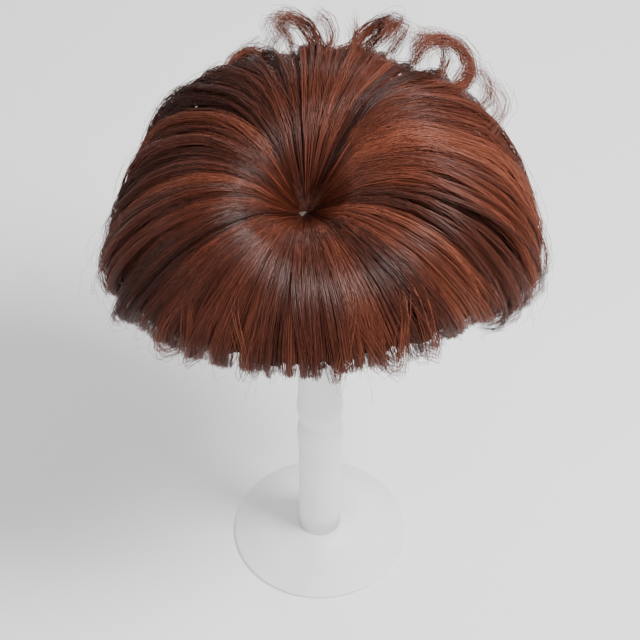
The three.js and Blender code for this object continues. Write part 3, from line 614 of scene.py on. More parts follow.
def hair_strands(rng, piece, look, settings):
    """Paths, radii and tones of one hair piece: locks of tresses of strands."""
    locks, tresses, strands = piece["locks"], piece["tresses"], piece["strands"]
    count = locks * tresses * strands
    lock = np.repeat(np.arange(locks), tresses * strands)
    tress = np.repeat(np.arange(locks * tresses), strands)
    width = (piece["to"] - piece["from"]) / locks

    def each_lock(low, high):
        return rng.uniform(low, high, locks)[lock]

    def each_tress(low, high):
        return rng.uniform(low, high, locks * tresses)[tress]

    middle = piece["from"] + (lock + 0.5) * width + each_lock(-0.3, 0.3) * width
    half = width * look["overlap"] * each_lock(0.38, 0.68)
    place = ((tress % tresses) + 0.5) / tresses * 2 - 1 + each_tress(-0.3, 0.3)
    across = rng.uniform(-1, 1, count)
    within = rng.uniform(-1, 1, count)
    layer = each_lock(piece["shallow"], piece["deep"])
    length = each_lock(look["shortest"], 1.0) * each_tress(0.96, 1.0) * rng.uniform(0.97, 1.0, count)
    length = length * look["longest"]
    rooted = piece["start"] + rng.uniform(0, 0.03, count) + look["rooting"] * rng.uniform(0, 1, count)**2.2
    share = np.linspace(0, 1, piece["points"])[None, :]**0.82
    along = rooted[:, None] + (length - rooted)[:, None] * share
    gather = smoothstep(0.2, 1.0, along)
    tress_spread = place[:, None] * (1 - each_lock(*look["grip"])[:, None] * gather)
    strand_grip = 1 - each_tress(*look["tress_grip"])[:, None] * gather
    strand_spread = across[:, None] * 1.3 / tresses * strand_grip
    crosses = rng.random(locks * tresses)[tress] < look["crossing"]
    turn = each_lock(-1, 1) * look["stray"]
    turn = turn + each_tress(-1, 1) * np.where(crosses, look["crossing_turn"], 1.5)
    azimuth = middle[:, None] + half[:, None] * (tress_spread + strand_spread) + turn[:, None] * along**2
    paths = hair_path(azimuth, layer[:, None], along)
    rooted_at = parting_shift(np.mod(middle, TURN), rng.random(count)**1.3)
    paths[..., :2] += rooted_at[:, None] * (1 - smoothstep(0, 0.55, along))[..., None]
    risen = surface_height(paths[..., :2], layer[:, None]) - parting_depth(paths[..., :2])
    paths[..., 2] += (risen - paths[..., 2]) * (1 - smoothstep(0.5, 0.62, along))
    out = unit(paths - HAIR_HEART)
    shown = smoothstep(0.04, 0.4, along)
    relief = settings.relief * look["relief"]
    raised = (each_lock(-0.6, 1.0) + each_tress(-0.35, 0.35) + crosses * 0.6) * relief
    crown = look["ridge"] * (1.3 - np.clip(place, -1, 1)**2 - 0.3 * across**2)
    lift = (raised + crown)[:, None] * shown + within[:, None] * look["thickness"] * (0.2 + 0.8 * shown)
    paths = paths + out * lift[..., None]
    buried = ROOT_DEPTH * (1 - smoothstep(0, 0.07, along - rooted[:, None]))
    paths = paths - out * buried[..., None]
    over_cap = np.where(along < OVER_CAP, dome_height(paths[..., 0], paths[..., 1], HAIR_ROOT), -np.inf)
    paths[..., 2] = np.maximum(paths[..., 2], over_cap)
    free = smoothstep(0.1, 1, along)[..., None]
    waves = slow_noise(rng, locks * tresses, np.repeat(share, locks * tresses, 0), 3, look["wave"])
    paths += (waves[tress] + slow_noise(rng, count, along, 3, look["wander"])) * free
    loose = rng.random(count) < settings.flyaways
    stray = slow_noise(rng, count, along, 2, STRAY) * (along**1.5)[..., None]
    paths += stray * loose[:, None, None]
    curl = np.radians(each_lock(*look["curl"]) + each_tress(-15, 15) + rng.normal(0, 8, count))
    paths = curl_tips(paths, along, curl, look["curl_from"])
    # The tone starts from the painted light and shade by direction, then adds random differences per lock,
    # tress and strand
    tone = np.interp(np.mod(middle + half * place * 0.5, TURN), TONES[:, 0], TONES[:, 1])
    tone = tone + each_lock(-0.12, 0.12) + each_tress(-0.12, 0.12) + rng.normal(0, 0.07, count)
    radius = settings.strand / 2 * rng.uniform(0.75, 1.2, count) * np.where(loose, 0.7, 1)
    # Deeper layers are painted darker, as shade beneath the top hair
    return paths, radius, np.clip(tone - 0.25 * layer, 0, 1)


def curl_guide(row, drift):
    """The middle line of a loose curl, as the frame draws it, changed a little by drift."""
    azimuth = row["azimuth"] + 2 * drift[0]
    stem_azimuth = row["azimuth"] + 10 * drift[4]
    section = section_at(np.array([float(azimuth)]))
    angle, lean = math.radians(azimuth), math.radians(row["lean"] + 6 * drift[1])
    outward = np.array([math.sin(angle), -math.cos(angle), 0.0])
    aside = np.array([math.cos(angle), math.sin(angle), 0.0])
    loop = HAIR_LIFT * row["radius"] * (1 + 0.07 * drift[2])
    rise = np.array([0, 0, math.cos(lean)]) + aside * math.sin(lean)
    start = np.array([WHORL[0], WHORL[1], WHORL_Z + HAIR_LIFT * row["height"]])
    start = start + outward * (HAIR_REACH * float(section["reach"][0]) * row["reach"] - loop)
    stations = np.array([0.24, 0.40, 0.56])
    stem = hair_path(np.full(3, float(stem_azimuth)), np.zeros(3), stations)
    shift = parting_shift(np.array([stem_azimuth]), np.array([0.5]))
    stem[:, :2] += shift * (1 - smoothstep(0, 0.55, stations))[:, None]
    turns = np.radians(np.linspace(row["from"], row["turn"] + 14 * drift[3], 12))[:, None]
    ring = start + outward * loop * np.sin(turns) + rise * loop * (1 - np.cos(turns))
    return np.concatenate([stem, ring])


def curl_strands(rng, row, tresses, strands, points, settings):
    """Strands that follow one loose curl in tresses and spread a little on the way."""
    made = []
    for _ in range(tresses):
        guide = smooth_line(curl_guide(row, rng.uniform(-1, 1, 5)), points)
        ahead = unit(np.gradient(guide, axis=0))
        side = unit(np.cross(ahead, unit(guide - HAIR_HEART)))
        for k in range(1, points):
            side[k] = unit(side[k - 1] - ahead[k] * np.dot(side[k - 1], ahead[k]))
        up = np.cross(side, ahead)
        along = np.linspace(0, 1, points)[None, :].repeat(strands, axis=0)
        radial, angle = np.sqrt(rng.random(strands)), rng.uniform(0, 2 * math.pi, strands)
        width = (7.0 - 4.2 * smoothstep(0, 0.7, along))[..., None] * MM
        paths = (guide[None] + side[None] * (radial * np.cos(angle))[:, None, None] * width
                 + up[None] * (radial * np.sin(angle))[:, None, None] * width * 0.45)
        scale = 1 + rng.normal(0, 0.07, strands)[:, None, None] * smoothstep(0.3, 1, along)[..., None]
        centre = guide[points // 3][None, None]
        paths = centre + (paths - centre) * scale
        paths += slow_noise(rng, strands, along, 3, 1.3 * MM) * along[..., None]
        tone = np.clip(0.6 + rng.uniform(-0.15, 0.15) + rng.normal(0, 0.1, strands), 0, 1)
        made.append((paths, settings.strand / 2 * rng.uniform(0.65, 1.1, strands), tone))
    return [np.concatenate(part) for part in zip(*made)]


def strand_object(name, paths, radius, tone):
    """Joined tapered strands with their tone and their place along the hair as attributes."""
    count, length, _ = paths.shape
    along = np.linspace(0, 1, length)
    taper = (1 - 0.25 * along) * np.sqrt(np.clip(1 - along**9, 0, 1)) + 0.05
    sides = 3
    points, faces = tubes(paths, radius[:, None] * taper[None], sides)
    return mesh_object(name, points, faces, attributes={
        "tone": np.repeat(tone, length * sides),
        "along": np.tile(np.repeat(along, sides), count),
    })


def hair_base_object():
    """The hair close to the cap that fills the space beneath the locks, a backing painted dark as the shade
    there.
    """
    azimuth = np.arange(BASE_SPOKES) * TURN / BASE_SPOKES
    front = smoothstep(0.50, 0.85, 0.5 + 0.5 * np.cos(np.radians(azimuth)))
    uneven = np.random.default_rng(2).uniform(0, 1, BASE_SPOKES)
    behind = smoothstep(0.45, 0.75, 0.5 - 0.5 * np.cos(np.radians(azimuth)))
    reach_end = 0.985 - 0.018 * uneven - (0.045 + 0.042 * uneven) * front

    def ring(layer, along, depth):
        points = hair_path(azimuth, np.full(BASE_SPOKES, layer), along * reach_end)
        points[:, 2] -= parting_depth(points[:, :2])
        return points - unit(points - HAIR_HEART) * depth

    def seated(away, lift):
        turned = np.radians(azimuth)
        plan = WHORL + np.stack([away * np.sin(turned), -away * np.cos(turned)], -1)
        return on_dome(plan, lift)

    rings = [seated(4 * MM, 1.8 * MM), seated(7 * MM, 2.4 * MM)]
    rings += [ring(0.12, along, 6 * MM) for along in (0.12, 0.18, 0.24, 0.32, 0.4, 0.48, 0.56, 0.64, 0.72)]
    rings += [ring(0.12, along, 6 * MM) for along in (0.79, 0.86, 0.91)]
    rings += [ring(0.6, 0.96 + 0.03 * behind, 3 * MM), ring(1.0, 0.90 + 0.04 * behind, 6 * MM)]
    rings += [ring(1.0, along, 6 * MM) for along in (0.84, 0.76, 0.68, 0.6, 0.5)]
    rings.append(on_dome(ring(1.0, 0.36, 0.0)[:, :2], 2.8 * MM))
    rings += [seated(20 * MM, 2.0 * MM), seated(4 * MM, 1.65 * MM)]
    faces = loft_faces(len(rings), BASE_SPOKES, True)
    return face_out(mesh_object("hair_base", np.concatenate(rings), faces))


# Materials

def new_material(name):
    """A material with nothing in it but a surface shader and its output."""
    material = bpy.data.materials.new(name)
    material.use_nodes = True
    nodes, links = material.node_tree.nodes, material.node_tree.links
    nodes.clear()
    output = nodes.new("ShaderNodeOutputMaterial")
    shader = nodes.new("ShaderNodeBsdfPrincipled")
    links.new(shader.outputs["BSDF"], output.inputs["Surface"])
    return material, nodes, links, shader


def math_node(nodes, links, operation, first, second=0.0):
    """A math node on sockets or numbers."""
    node = nodes.new("ShaderNodeMath")
    node.operation = operation
    for socket, value in zip(node.inputs, (first, second)):
        if isinstance(value, bpy.types.NodeSocket):
            links.new(value, socket)
        else:
            socket.default_value = value
    return node.outputs[0]


def ramp_node(nodes, links, value, stops):
    """The colour of a value on a ramp of positions and colours."""
    ramp = nodes.new("ShaderNodeValToRGB")
    elements = ramp.color_ramp.elements
    while len(elements) > 1:
        elements.remove(elements[-1])
    elements[0].position, elements[0].color = stops[0][0], (*stops[0][1], 1)
    for position, colour in stops[1:]:
        elements.new(position).color = (*colour, 1)
    links.new(value, ramp.inputs["Fac"])
    return ramp.outputs["Color"]


def noise_node(nodes, links, scale, detail=2.0):
    """Noise in the object's own space."""
    coord = nodes.new("ShaderNodeTexCoord")
    noise = nodes.new("ShaderNodeTexNoise")
    noise.inputs["Scale"].default_value = scale
    noise.inputs["Detail"].default_value = detail
    links.new(coord.outputs["Object"], noise.inputs["Vector"])
    return noise.outputs["Fac"]


def bump_node(nodes, links, height, strength, distance, shader):
    """Gives a shader relief from a height."""
    bump = nodes.new("ShaderNodeBump")
    bump.inputs["Strength"].default_value = strength
    bump.inputs["Distance"].default_value = distance
    links.new(height, bump.inputs["Height"])
    links.new(bump.outputs["Normal"], shader.inputs["Normal"])


def shade(colour, amount):
    """A colour made darker or lighter."""
    return tuple(min(1.0, channel * amount) for channel in colour)


def hair_material(settings):
    """Auburn fibre: each strand has its own tone with painted light and shade in it, darker at the root,
    with a satin shine.
    """
    material, nodes, links, shader = new_material("hair_fibre")
    tone = nodes.new("ShaderNodeAttribute")
    tone.attribute_name = "tone"
    along = nodes.new("ShaderNodeAttribute")
    along.attribute_name = "along"
    drift = math_node(nodes, links, "MULTIPLY", noise_node(nodes, links, 26, 3), 0.3)
    grown = math_node(nodes, links, "MULTIPLY", along.outputs["Fac"], 0.18)
    total = math_node(nodes, links, "ADD", tone.outputs["Fac"], drift)
    total = math_node(nodes, links, "ADD", total, grown)
    total = math_node(nodes, links, "SUBTRACT", total, 0.24)
    colour = ramp_node(nodes, links, total, [
        (0.0, settings.dark_colour), (0.35, shade(settings.mid_colour, 0.7)),
        (0.62, shade(settings.mid_colour, 1.3)), (1.0, settings.light_colour),
    ])
    links.new(colour, shader.inputs["Base Color"])
    shader.inputs["Roughness"].default_value = settings.gloss
    shader.inputs["Specular IOR Level"].default_value = 0.35
    return material


def base_shade_material(settings):
    """Hair seen between the locks, painted in darkened copies of the hair colours as shade, with fine
    streaks.
    """
    material, nodes, links, shader = new_material("hair_painted_shade")
    streaks = noise_node(nodes, links, 300, 4)
    # Both stops are the hair colours darkened: painted shade between the locks
    colour = ramp_node(nodes, links, streaks, [
        (0.3, shade(settings.dark_colour, 0.35)), (0.75, shade(settings.mid_colour, 0.4))])
    links.new(colour, shader.inputs["Base Color"])
    bump_node(nodes, links, streaks, 0.6, 0.5 * MM, shader)
    shader.inputs["Roughness"].default_value = 0.8
    shader.inputs["Specular IOR Level"].default_value = 0.1
    return material


def oval_mask(nodes, links):
    """1 over the fine net of the top and 0 outside it."""
    coord = nodes.new("ShaderNodeTexCoord")
    parts = nodes.new("ShaderNodeSeparateXYZ")
    links.new(coord.outputs["Object"], parts.inputs["Vector"])
    total = 0.0
    for axis, middle, half in zip("XY", MONO_CENTRE, MONO_HALF):
        shifted = math_node(nodes, links, "SUBTRACT", parts.outputs[axis], float(middle))
        scaled = math_node(nodes, links, "DIVIDE", shifted, float(half))
        total = math_node(nodes, links, "ADD", math_node(nodes, links, "POWER", scaled, 2.0), total)
    return math_node(nodes, links, "LESS_THAN", total, 1.0)


def lace_material(name, thread_colour, ground_colour, patch_colour=None):
    """Fine lace ground: dark threads round small holes that show a paler cloth."""
    material, nodes, links, shader = new_material(name)
    coord = nodes.new("ShaderNodeTexCoord")
    cells = nodes.new("ShaderNodeTexVoronoi")
    cells.inputs["Scale"].default_value = 1500
    links.new(coord.outputs["Object"], cells.inputs["Vector"])
    holes = math_node(nodes, links, "LESS_THAN", cells.outputs["Distance"], 0.42)
    cloud = math_node(nodes, links, "MULTIPLY", noise_node(nodes, links, 80, 4), 0.5)
    total = math_node(nodes, links, "ADD", math_node(nodes, links, "MULTIPLY", holes, 0.5), cloud)
    if patch_colour is not None:
        patch = math_node(nodes, links, "MULTIPLY", oval_mask(nodes, links), 0.32)
        total = math_node(nodes, links, "ADD", total, patch)
    colour = ramp_node(nodes, links, total, [
        (0.12, shade(thread_colour, 0.6)), (0.35, thread_colour), (0.75, ground_colour),
        (1.0, patch_colour or shade(ground_colour, 1.2)),
    ])
    links.new(colour, shader.inputs["Base Color"])
    bump_node(nodes, links, cells.outputs["Distance"], 0.7, 0.25 * MM, shader)
    shader.inputs["Roughness"].default_value = 0.75
    return material


def cloth_material(name, colour, rows):
    """Woven tape: fine cross threads over a slow change of tone."""
    material, nodes, links, shader = new_material(name)
    coord = nodes.new("ShaderNodeTexCoord")
    weave = nodes.new("ShaderNodeTexVoronoi")
    weave.inputs["Scale"].default_value = rows
    weave.distance = "CHEBYCHEV"
    links.new(coord.outputs["Object"], weave.inputs["Vector"])
    grain = math_node(nodes, links, "MULTIPLY", weave.outputs["Distance"], 0.5)
    cloud = math_node(nodes, links, "MULTIPLY", noise_node(nodes, links, 90, 5), 0.6)
    total = math_node(nodes, links, "ADD", grain, cloud)
    ramp = ramp_node(nodes, links, total, [
        (0.2, shade(colour, 0.55)), (0.5, colour), (0.85, shade(colour, 1.6))])
    links.new(ramp, shader.inputs["Base Color"])
    bump_node(nodes, links, weave.outputs["Distance"], 0.5, 0.2 * MM, shader)
    shader.inputs["Roughness"].default_value = 0.7
    shader.inputs["Sheen Weight"].default_value = 0.25
    return material


def steel_material(settings):
    """Dark plated spring steel with fine brushing."""
    material, nodes, links, shader = new_material("clip_steel")
    brushed = noise_node(nodes, links, 900, 3)
    patchy = noise_node(nodes, links, 160, 4)
    total = math_node(nodes, links, "ADD", math_node(nodes, links, "MULTIPLY", brushed, 0.5),
                      math_node(nodes, links, "MULTIPLY", patchy, 0.5))
    ramp = ramp_node(nodes, links, total, [
        (0.3, shade(settings.steel_colour, 0.6)), (0.7, shade(settings.steel_colour, 1.4))])
    links.new(ramp, shader.inputs["Base Color"])
    bump_node(nodes, links, brushed, 0.2, 0.05 * MM, shader)
    shader.inputs["Metallic"].default_value = 0.85
    shader.inputs["Roughness"].default_value = 0.34
    return material


def plastic_material(settings):
    """Smooth white moulded plastic with a faint grain."""
    material, nodes, links, shader = new_material("stand_plastic")
    cloud = noise_node(nodes, links, 30, 3)
    ramp = ramp_node(nodes, links, cloud, [
        (0.3, shade(settings.plastic_colour, 0.94)), (0.8, shade(settings.plastic_colour, 1.04))])
    links.new(ramp, shader.inputs["Base Color"])
    bump_node(nodes, links, noise_node(nodes, links, 900, 2), 0.08, 0.1 * MM, shader)
    shader.inputs["Roughness"].default_value = 0.32
    return material


# Settings that a user would change

class TopperHairSettings(bpy.types.PropertyGroup):
    """Sizes and colours of the hair."""

    strand: bpy.props.FloatProperty(
        name="Strand thickness", description="Thickness of a drawn strand",
        default=0.34 * MM, min=0.05 * MM, max=1 * MM, precision=5, unit="LENGTH")
    relief: bpy.props.FloatProperty(
        name="Lock relief", description="How far the locks stand off each other",
        default=1.0, min=0, max=3, subtype="FACTOR")
    flyaways: bpy.props.FloatProperty(
        name="Flyaways", description="Share of strands that stray from their lock",
        default=0.06, min=0, max=1, subtype="FACTOR")
    gloss: bpy.props.FloatProperty(
        name="Roughness", description="Roughness of the fibre's shine", default=0.36, min=0, max=1,
        subtype="FACTOR")
    # The dark colour is also the painted shade in the folds between the locks, and the light colour the
    # painted light on ridges
    dark_colour: bpy.props.FloatVectorProperty(
        name="Dark", description="Darkest hair, between the locks", subtype="COLOR", size=3,
        min=0, max=1, default=(0.030, 0.008, 0.005))
    mid_colour: bpy.props.FloatVectorProperty(
        name="Middle", description="The hair's main colour", subtype="COLOR", size=3,
        min=0, max=1, default=(0.110, 0.027, 0.014))
    light_colour: bpy.props.FloatVectorProperty(
        name="Light", description="The lightest strands", subtype="COLOR", size=3,
        min=0, max=1, default=(0.300, 0.090, 0.045))


class TopperCapSettings(bpy.types.PropertyGroup):
    """Sizes and colours of the lace cap."""

    lace_colour: bpy.props.FloatVectorProperty(
        name="Lace", description="Lace thread", subtype="COLOR", size=3, min=0, max=1,
        default=(0.046, 0.030, 0.027))
    ground_colour: bpy.props.FloatVectorProperty(
        name="Lace ground", description="Between the lace threads", subtype="COLOR", size=3, min=0, max=1,
        default=(0.120, 0.086, 0.076))
    skin_colour: bpy.props.FloatVectorProperty(
        name="Fine net", description="The sheer net of the top", subtype="COLOR", size=3,
        min=0, max=1, default=(0.20, 0.145, 0.118))
    tape_colour: bpy.props.FloatVectorProperty(
        name="Tape", description="Edge binding and weft strips", subtype="COLOR", size=3, min=0, max=1,
        default=(0.080, 0.055, 0.050))
    elastic_colour: bpy.props.FloatVectorProperty(
        name="Elastic", description="Ribbed inner band", subtype="COLOR", size=3, min=0, max=1,
        default=(0.094, 0.067, 0.060))
    stitch: bpy.props.FloatProperty(
        name="Stitch length", description="Length of a stitch", default=2.2 * MM, min=0.5 * MM,
        max=6 * MM, precision=4, unit="LENGTH")
    thread: bpy.props.FloatProperty(
        name="Thread thickness", description="Thickness of the sewing thread", default=0.35 * MM,
        min=0.1 * MM, max=1 * MM, precision=5, unit="LENGTH")


class TopperClipSettings(bpy.types.PropertyGroup):
    """Sizes and colours of the snap clips."""

    steel_colour: bpy.props.FloatVectorProperty(
        name="Steel", description="Plated steel", subtype="COLOR", size=3, min=0, max=1,
        default=(0.20, 0.18, 0.18))
    edge: bpy.props.FloatProperty(
        name="Edge rounding", description="How far the steel's edges are rounded",
        default=0.15 * MM, min=0.02 * MM, max=0.35 * MM, precision=5, unit="LENGTH")


class TopperStandSettings(bpy.types.PropertyGroup):
    """Looks of the post stand."""

    plastic_colour: bpy.props.FloatVectorProperty(
        name="Plastic", description="The stand's white plastic", subtype="COLOR", size=3,
        min=0, max=1, default=(0.86, 0.86, 0.85))
    sides: bpy.props.IntProperty(
        name="Sides", description="How finely the stand is turned", default=96, min=16, max=256)


class TopperStageSettings(bpy.types.PropertyGroup):
    """Camera and lights."""

    elevation: bpy.props.FloatProperty(
        name="Camera elevation", description="How far the camera looks down", default=math.radians(48),
        subtype="ANGLE")
    distance: bpy.props.FloatProperty(
        name="Camera distance", description="From the middle of the part", default=1.5, unit="LENGTH")
    width: bpy.props.FloatProperty(
        name="Frame width", description="Width of the picture at the part", default=0.42, unit="LENGTH")
    height: bpy.props.FloatProperty(
        name="Target height", description="Height that the camera looks at", default=0.228, unit="LENGTH")
    key_power: bpy.props.FloatProperty(
        name="Key light", description="Power of the key softbox", default=42.0, min=0)
    fill_power: bpy.props.FloatProperty(
        name="Fill light", description="Power of the fill softbox", default=8.0, min=0)
    sky: bpy.props.FloatProperty(
        name="Sky", description="Strength of the even white light", default=0.62, min=0)


# Pieces

class TOPPER_OT_stand(bpy.types.Operator):
    """Turns the white foot, the post and the knob that carries the cap"""

    bl_idname = "topper.make_stand"
    bl_label = "Stand"

    def execute(self, context):
        settings = context.scene.topper_stand
        plastic = plastic_material(settings)
        pole = 0.01 * MM
        rim = FOOT_EDGE / 2
        turns = np.radians(np.linspace(-60, 75, 7))
        foot = [(pole, 0), (FOOT_RADIUS - rim, 0)]
        foot += [(FOOT_RADIUS - rim + rim * math.cos(a), rim + rim * math.sin(a)) for a in turns]
        foot += [(FOOT_SHOULDER_RADIUS, FOOT_SHOULDER_HEIGHT), (POST_RADIUS + COLLAR_WIDTH, COLLAR_HEIGHT),
                 (POST_RADIUS + COLLAR_WIDTH / 2, FOOT_HEIGHT), (pole, FOOT_HEIGHT)]
        fit(lathe("foot_of_stand", foot, settings.sides), "stand", plastic, "stand_foot")
        low, high = FOOT_HEIGHT + CLEARANCE, KNOB_TOP - KNOB_HEIGHT - CLEARANCE
        heights = np.concatenate([[low, low + 20 * MM],
                                  np.linspace(PINCH_Z - BULGE_LENGTH, PINCH_Z + BULGE_LENGTH, 33),
                                  np.linspace(PINCH_Z + BULGE_LENGTH + 10 * MM, high, 12)])
        away = np.clip(np.abs(heights - PINCH_Z) / BULGE_LENGTH, 0, 1)
        swell = POST_BULGE * np.sin(math.pi * away) - POST_PINCH * (1 - away)**4
        post = [(pole, low), *zip(POST_RADIUS + swell, heights), (pole, high)]
        fit(lathe("post_of_stand", post, settings.sides), "stand", plastic, "stand_post")
        steepest = math.asin(KNOB_RADIUS / KNOB_CROWN_RADIUS)
        crown = [(KNOB_CROWN_RADIUS * math.sin(a), KNOB_TOP - KNOB_CROWN_RADIUS * (1 - math.cos(a)))
                 for a in np.linspace(steepest, 0.001, 16)]
        base = KNOB_TOP - KNOB_HEIGHT
        knob = [(pole, base), (POST_RADIUS, base), *crown]
        fit(lathe("knob_of_stand", knob, settings.sides), "stand", plastic, "stand_knob")
        return {"FINISHED"}


class TOPPER_OT_lace(bpy.types.Operator):
    """Lays the lace lining with its flowers, the fine net and the lace tabs"""

    bl_idname = "topper.make_lace"
    bl_label = "Lace and net"

    def execute(self, context):
        settings = context.scene.topper_cap
        ground = lace_material(
            "lace_net", settings.lace_colour, settings.ground_colour, settings.skin_colour)
        inner = ELASTIC["inset"] + ELASTIC["width"] + CLEARANCE
        outer = BINDING["width"] + CLEARANCE
        rear = cap_outline(rim_angles(inner, BAND_END, 180 - BAND_END, 120), inner)
        front = cap_outline(rim_angles(outer, 180 + BAND_END, TURN - BAND_END, 120), outer)
        outline = np.concatenate([rear, front])
        lining = sheet_object("lace_ground", LINING_CENTRE, outline, -LACE_THICKNESS, 0, 14)
        fit(lining, "lace", ground, "lace_lining")
        turns = np.radians(np.linspace(0, TURN, 96, endpoint=False))
        oval = MONO_CENTRE + MONO_HALF * np.stack([np.cos(turns), np.sin(turns)], -1)
        # The net on top is a darker copy of the fine net colour: painted shade where it shows at the whorl
        # among the hair
        net = lace_material("fine_net", shade(settings.skin_colour, 0.3), shade(settings.skin_colour, 0.55))
        fit(sheet_object("fine_net_top", MONO_CENTRE, oval, MONO_LOW, MONO_HIGH, 8), "mono", net, "mono_top")
        thread = cloth_material("lace_thread", settings.lace_colour, 1600)
        fit(self.flowers(), "lace", thread)
        seam_line = on_dome(np.concatenate([oval, oval[:1]]), -LACE_THICKNESS - 0.1 * MM)[None]
        seam = tubes(seam_line, np.full(seam_line.shape[:2], 0.45 * MM), 6)
        fit(face_out(mesh_object("net_seam", *seam)), "lace", thread)
        fit(self.tabs(), "lace", ground, *[f"lace_tab_{n + 1}" for n in range(len(TAB_ANGLES))])
        return {"FINISHED"}

    def flowers(self):
        """Five-petalled flowers with leaves and curved stems, spaced over the lining."""
        rng = np.random.default_rng(9)
        low = -LACE_THICKNESS
        placed, parts = [], []
        for _ in range(4000):
            rear = rng.random() < 0.75
            angle = rng.uniform(3, 177) if rear else rng.uniform(183, 357)
            inset = 42 * MM if rear else 14 * MM
            edge = cap_outline(np.array(angle), inset)
            place = LINING_CENTRE + (edge - LINING_CENTRE) * math.sqrt(rng.random())
            if all(np.linalg.norm(place - other) > FLOWER_SPACE for other in placed):
                placed.append(place)
            if len(placed) == FLOWER_COUNT:
                break
        stems = []
        for place in placed:
            size, turn = rng.uniform(3.2, 4.6) * MM, rng.uniform(0, 2 * math.pi)
            for k in range(5):
                angle = turn + k * 2 * math.pi / 5
                ahead = np.array([math.cos(angle), math.sin(angle)])
                parts.append(petal(place + ahead * 0.7 * MM, angle, size, size * 0.62, low))
            parts.append(petal(place - np.array([0.6 * MM, 0]), 0, 1.2 * MM, 1.2 * MM, low - 0.1 * MM))
            bend = turn + rng.uniform(-0.6, 0.6)
            steps = np.linspace(0, 1, 7)[:, None]
            heading = bend + 1.4 * steps[:, 0]
            stem = place + 9.5 * MM * steps * np.stack([np.cos(heading), np.sin(heading)], -1)
            stems.append(on_dome(stem, low - 0.05 * MM))
            for k in (3, 4, 5):
                parts.append(petal(stem[k], heading[k] + 0.9 * (-1)**k, 2.6 * MM, 1.1 * MM, low))
        stems = np.array(stems)
        parts.append(tubes(stems, np.full(stems.shape[:2], 0.22 * MM), 5))
        return face_out(mesh_object("lace_flowers", *join_parts(parts)))

    def tabs(self):
        """Lace tabs with scalloped edges across the rows of wefts."""
        parts, corners, steps = [], 12, 33
        turns = 2 * math.pi * (np.arange(corners) + 0.5) / corners
        across, height = signed_power(np.cos(turns), 0.6), signed_power(np.sin(turns), 0.6)
        insets = np.linspace(TAB_START, TAB_END, steps)
        scallop = 0.5 * MM * np.abs(np.sin(np.linspace(0, 5 * math.pi, steps)))
        for angle in TAB_ANGLES:
            line = cap_outline(np.full(steps, angle), insets)
            tangent = unit(cap_outline(np.full(steps, angle + 1), insets) - cap_outline(
                np.full(steps, angle - 1), insets))
            half = TAB_WIDTH / 2 - 0.5 * MM + scallop
            plan = line[:, None] + tangent[:, None] * (half[:, None] * across)[..., None]
            lift = (TAB_LOW + TAB_HIGH) / 2 + height * (TAB_HIGH - TAB_LOW) / 2
            points = on_dome(plan, np.broadcast_to(lift, (steps, corners)))
            parts.append((points.reshape(-1, 3), loft_faces(steps, corners)))
        return face_out(mesh_object("lace_tabs", *join_parts(parts)))


class TOPPER_OT_bands(bpy.types.Operator):
    """Sews the edge binding, the ribbed elastic and the two rows of wefts"""

    bl_idname = "topper.make_bands"
    bl_label = "Binding, elastic and wefts"

    def execute(self, context):
        settings = context.scene.topper_cap
        tape = cloth_material("tape", settings.tape_colour, 1300)
        thread = cloth_material("sewing_thread", shade(settings.tape_colour, 0.5), 3000)
        rng = np.random.default_rng(4)
        drift = rng.normal(0, 0.06 * MM, 360)[:, None]
        binding = swept_band("folded_binding", BINDING, 0, TURN, 360, 20, lambda k, across: drift)
        fit(binding, "tape", tape, "edge_binding")
        rows = []
        for inset in (2.0 * MM, 7.0 * MM):
            angles = rim_angles(inset, 0, TURN, 170)
            rows.append(stitches(angles, inset, BINDING["low"], settings.stitch, settings.thread))
        fit(face_out(mesh_object("binding_stitches", *join_parts(rows))), "tape", thread)

        def ribs(k, across):
            ends = smoothstep(0, 1 * MM, across) * smoothstep(0, 1 * MM, ELASTIC["width"] - across)
            return ends * 0.2 * MM * np.cos(2 * math.pi * across / (2.2 * MM)) + 0.1 * MM * np.sin(k * 1.6)

        knit = cloth_material("ribbed_knit", settings.elastic_colour, 900)
        elastic = swept_band("ribbed_elastic", ELASTIC, BAND_END, 180 - BAND_END, 260, 30, ribs)
        fit(elastic, "elastic", knit, "elastic_band")
        fibre = bpy.data.materials["hair_fibre"]
        for name, band in WEFTS.items():
            strip = swept_band(f"{name}_strip", band, BAND_END, 180 - BAND_END, 240, 12)
            fit(strip, "weft", tape, name)
            middle = band["inset"] + band["width"] / 2
            angles = rim_angles(middle, 2, 178, 90)
            fit(face_out(mesh_object(f"{name}_stitches", *stitches(
                angles, middle, band["low"], settings.stitch, settings.thread))), "weft", thread)
            count = WEFT_HAIRS
            angle = rng.uniform(2, 178, count)
            share = np.linspace(0, 1, 5)
            lean = rng.normal(1.5, 2.2, count)
            start = middle + rng.uniform(-1, 1, count) * 1.0 * MM
            insets = start[:, None] - share * rng.uniform(3.5, 5.5, count)[:, None] * MM
            at = np.clip(angle[:, None] + lean[:, None] * share, 1.5, 178.5)
            lift = (-1.45 + 2.6 * share**1.6 - 0.25 * np.sin(math.pi * share)) * MM
            paths = on_dome(cap_outline(at, insets), np.broadcast_to(lift, at.shape))
            radius = rng.uniform(0.1, 0.17, count) * MM
            tone = rng.uniform(0.3, 0.8, count)
            fit(strand_object(f"{name}_hair", paths, radius, tone), "weft", fibre)
        return {"FINISHED"}


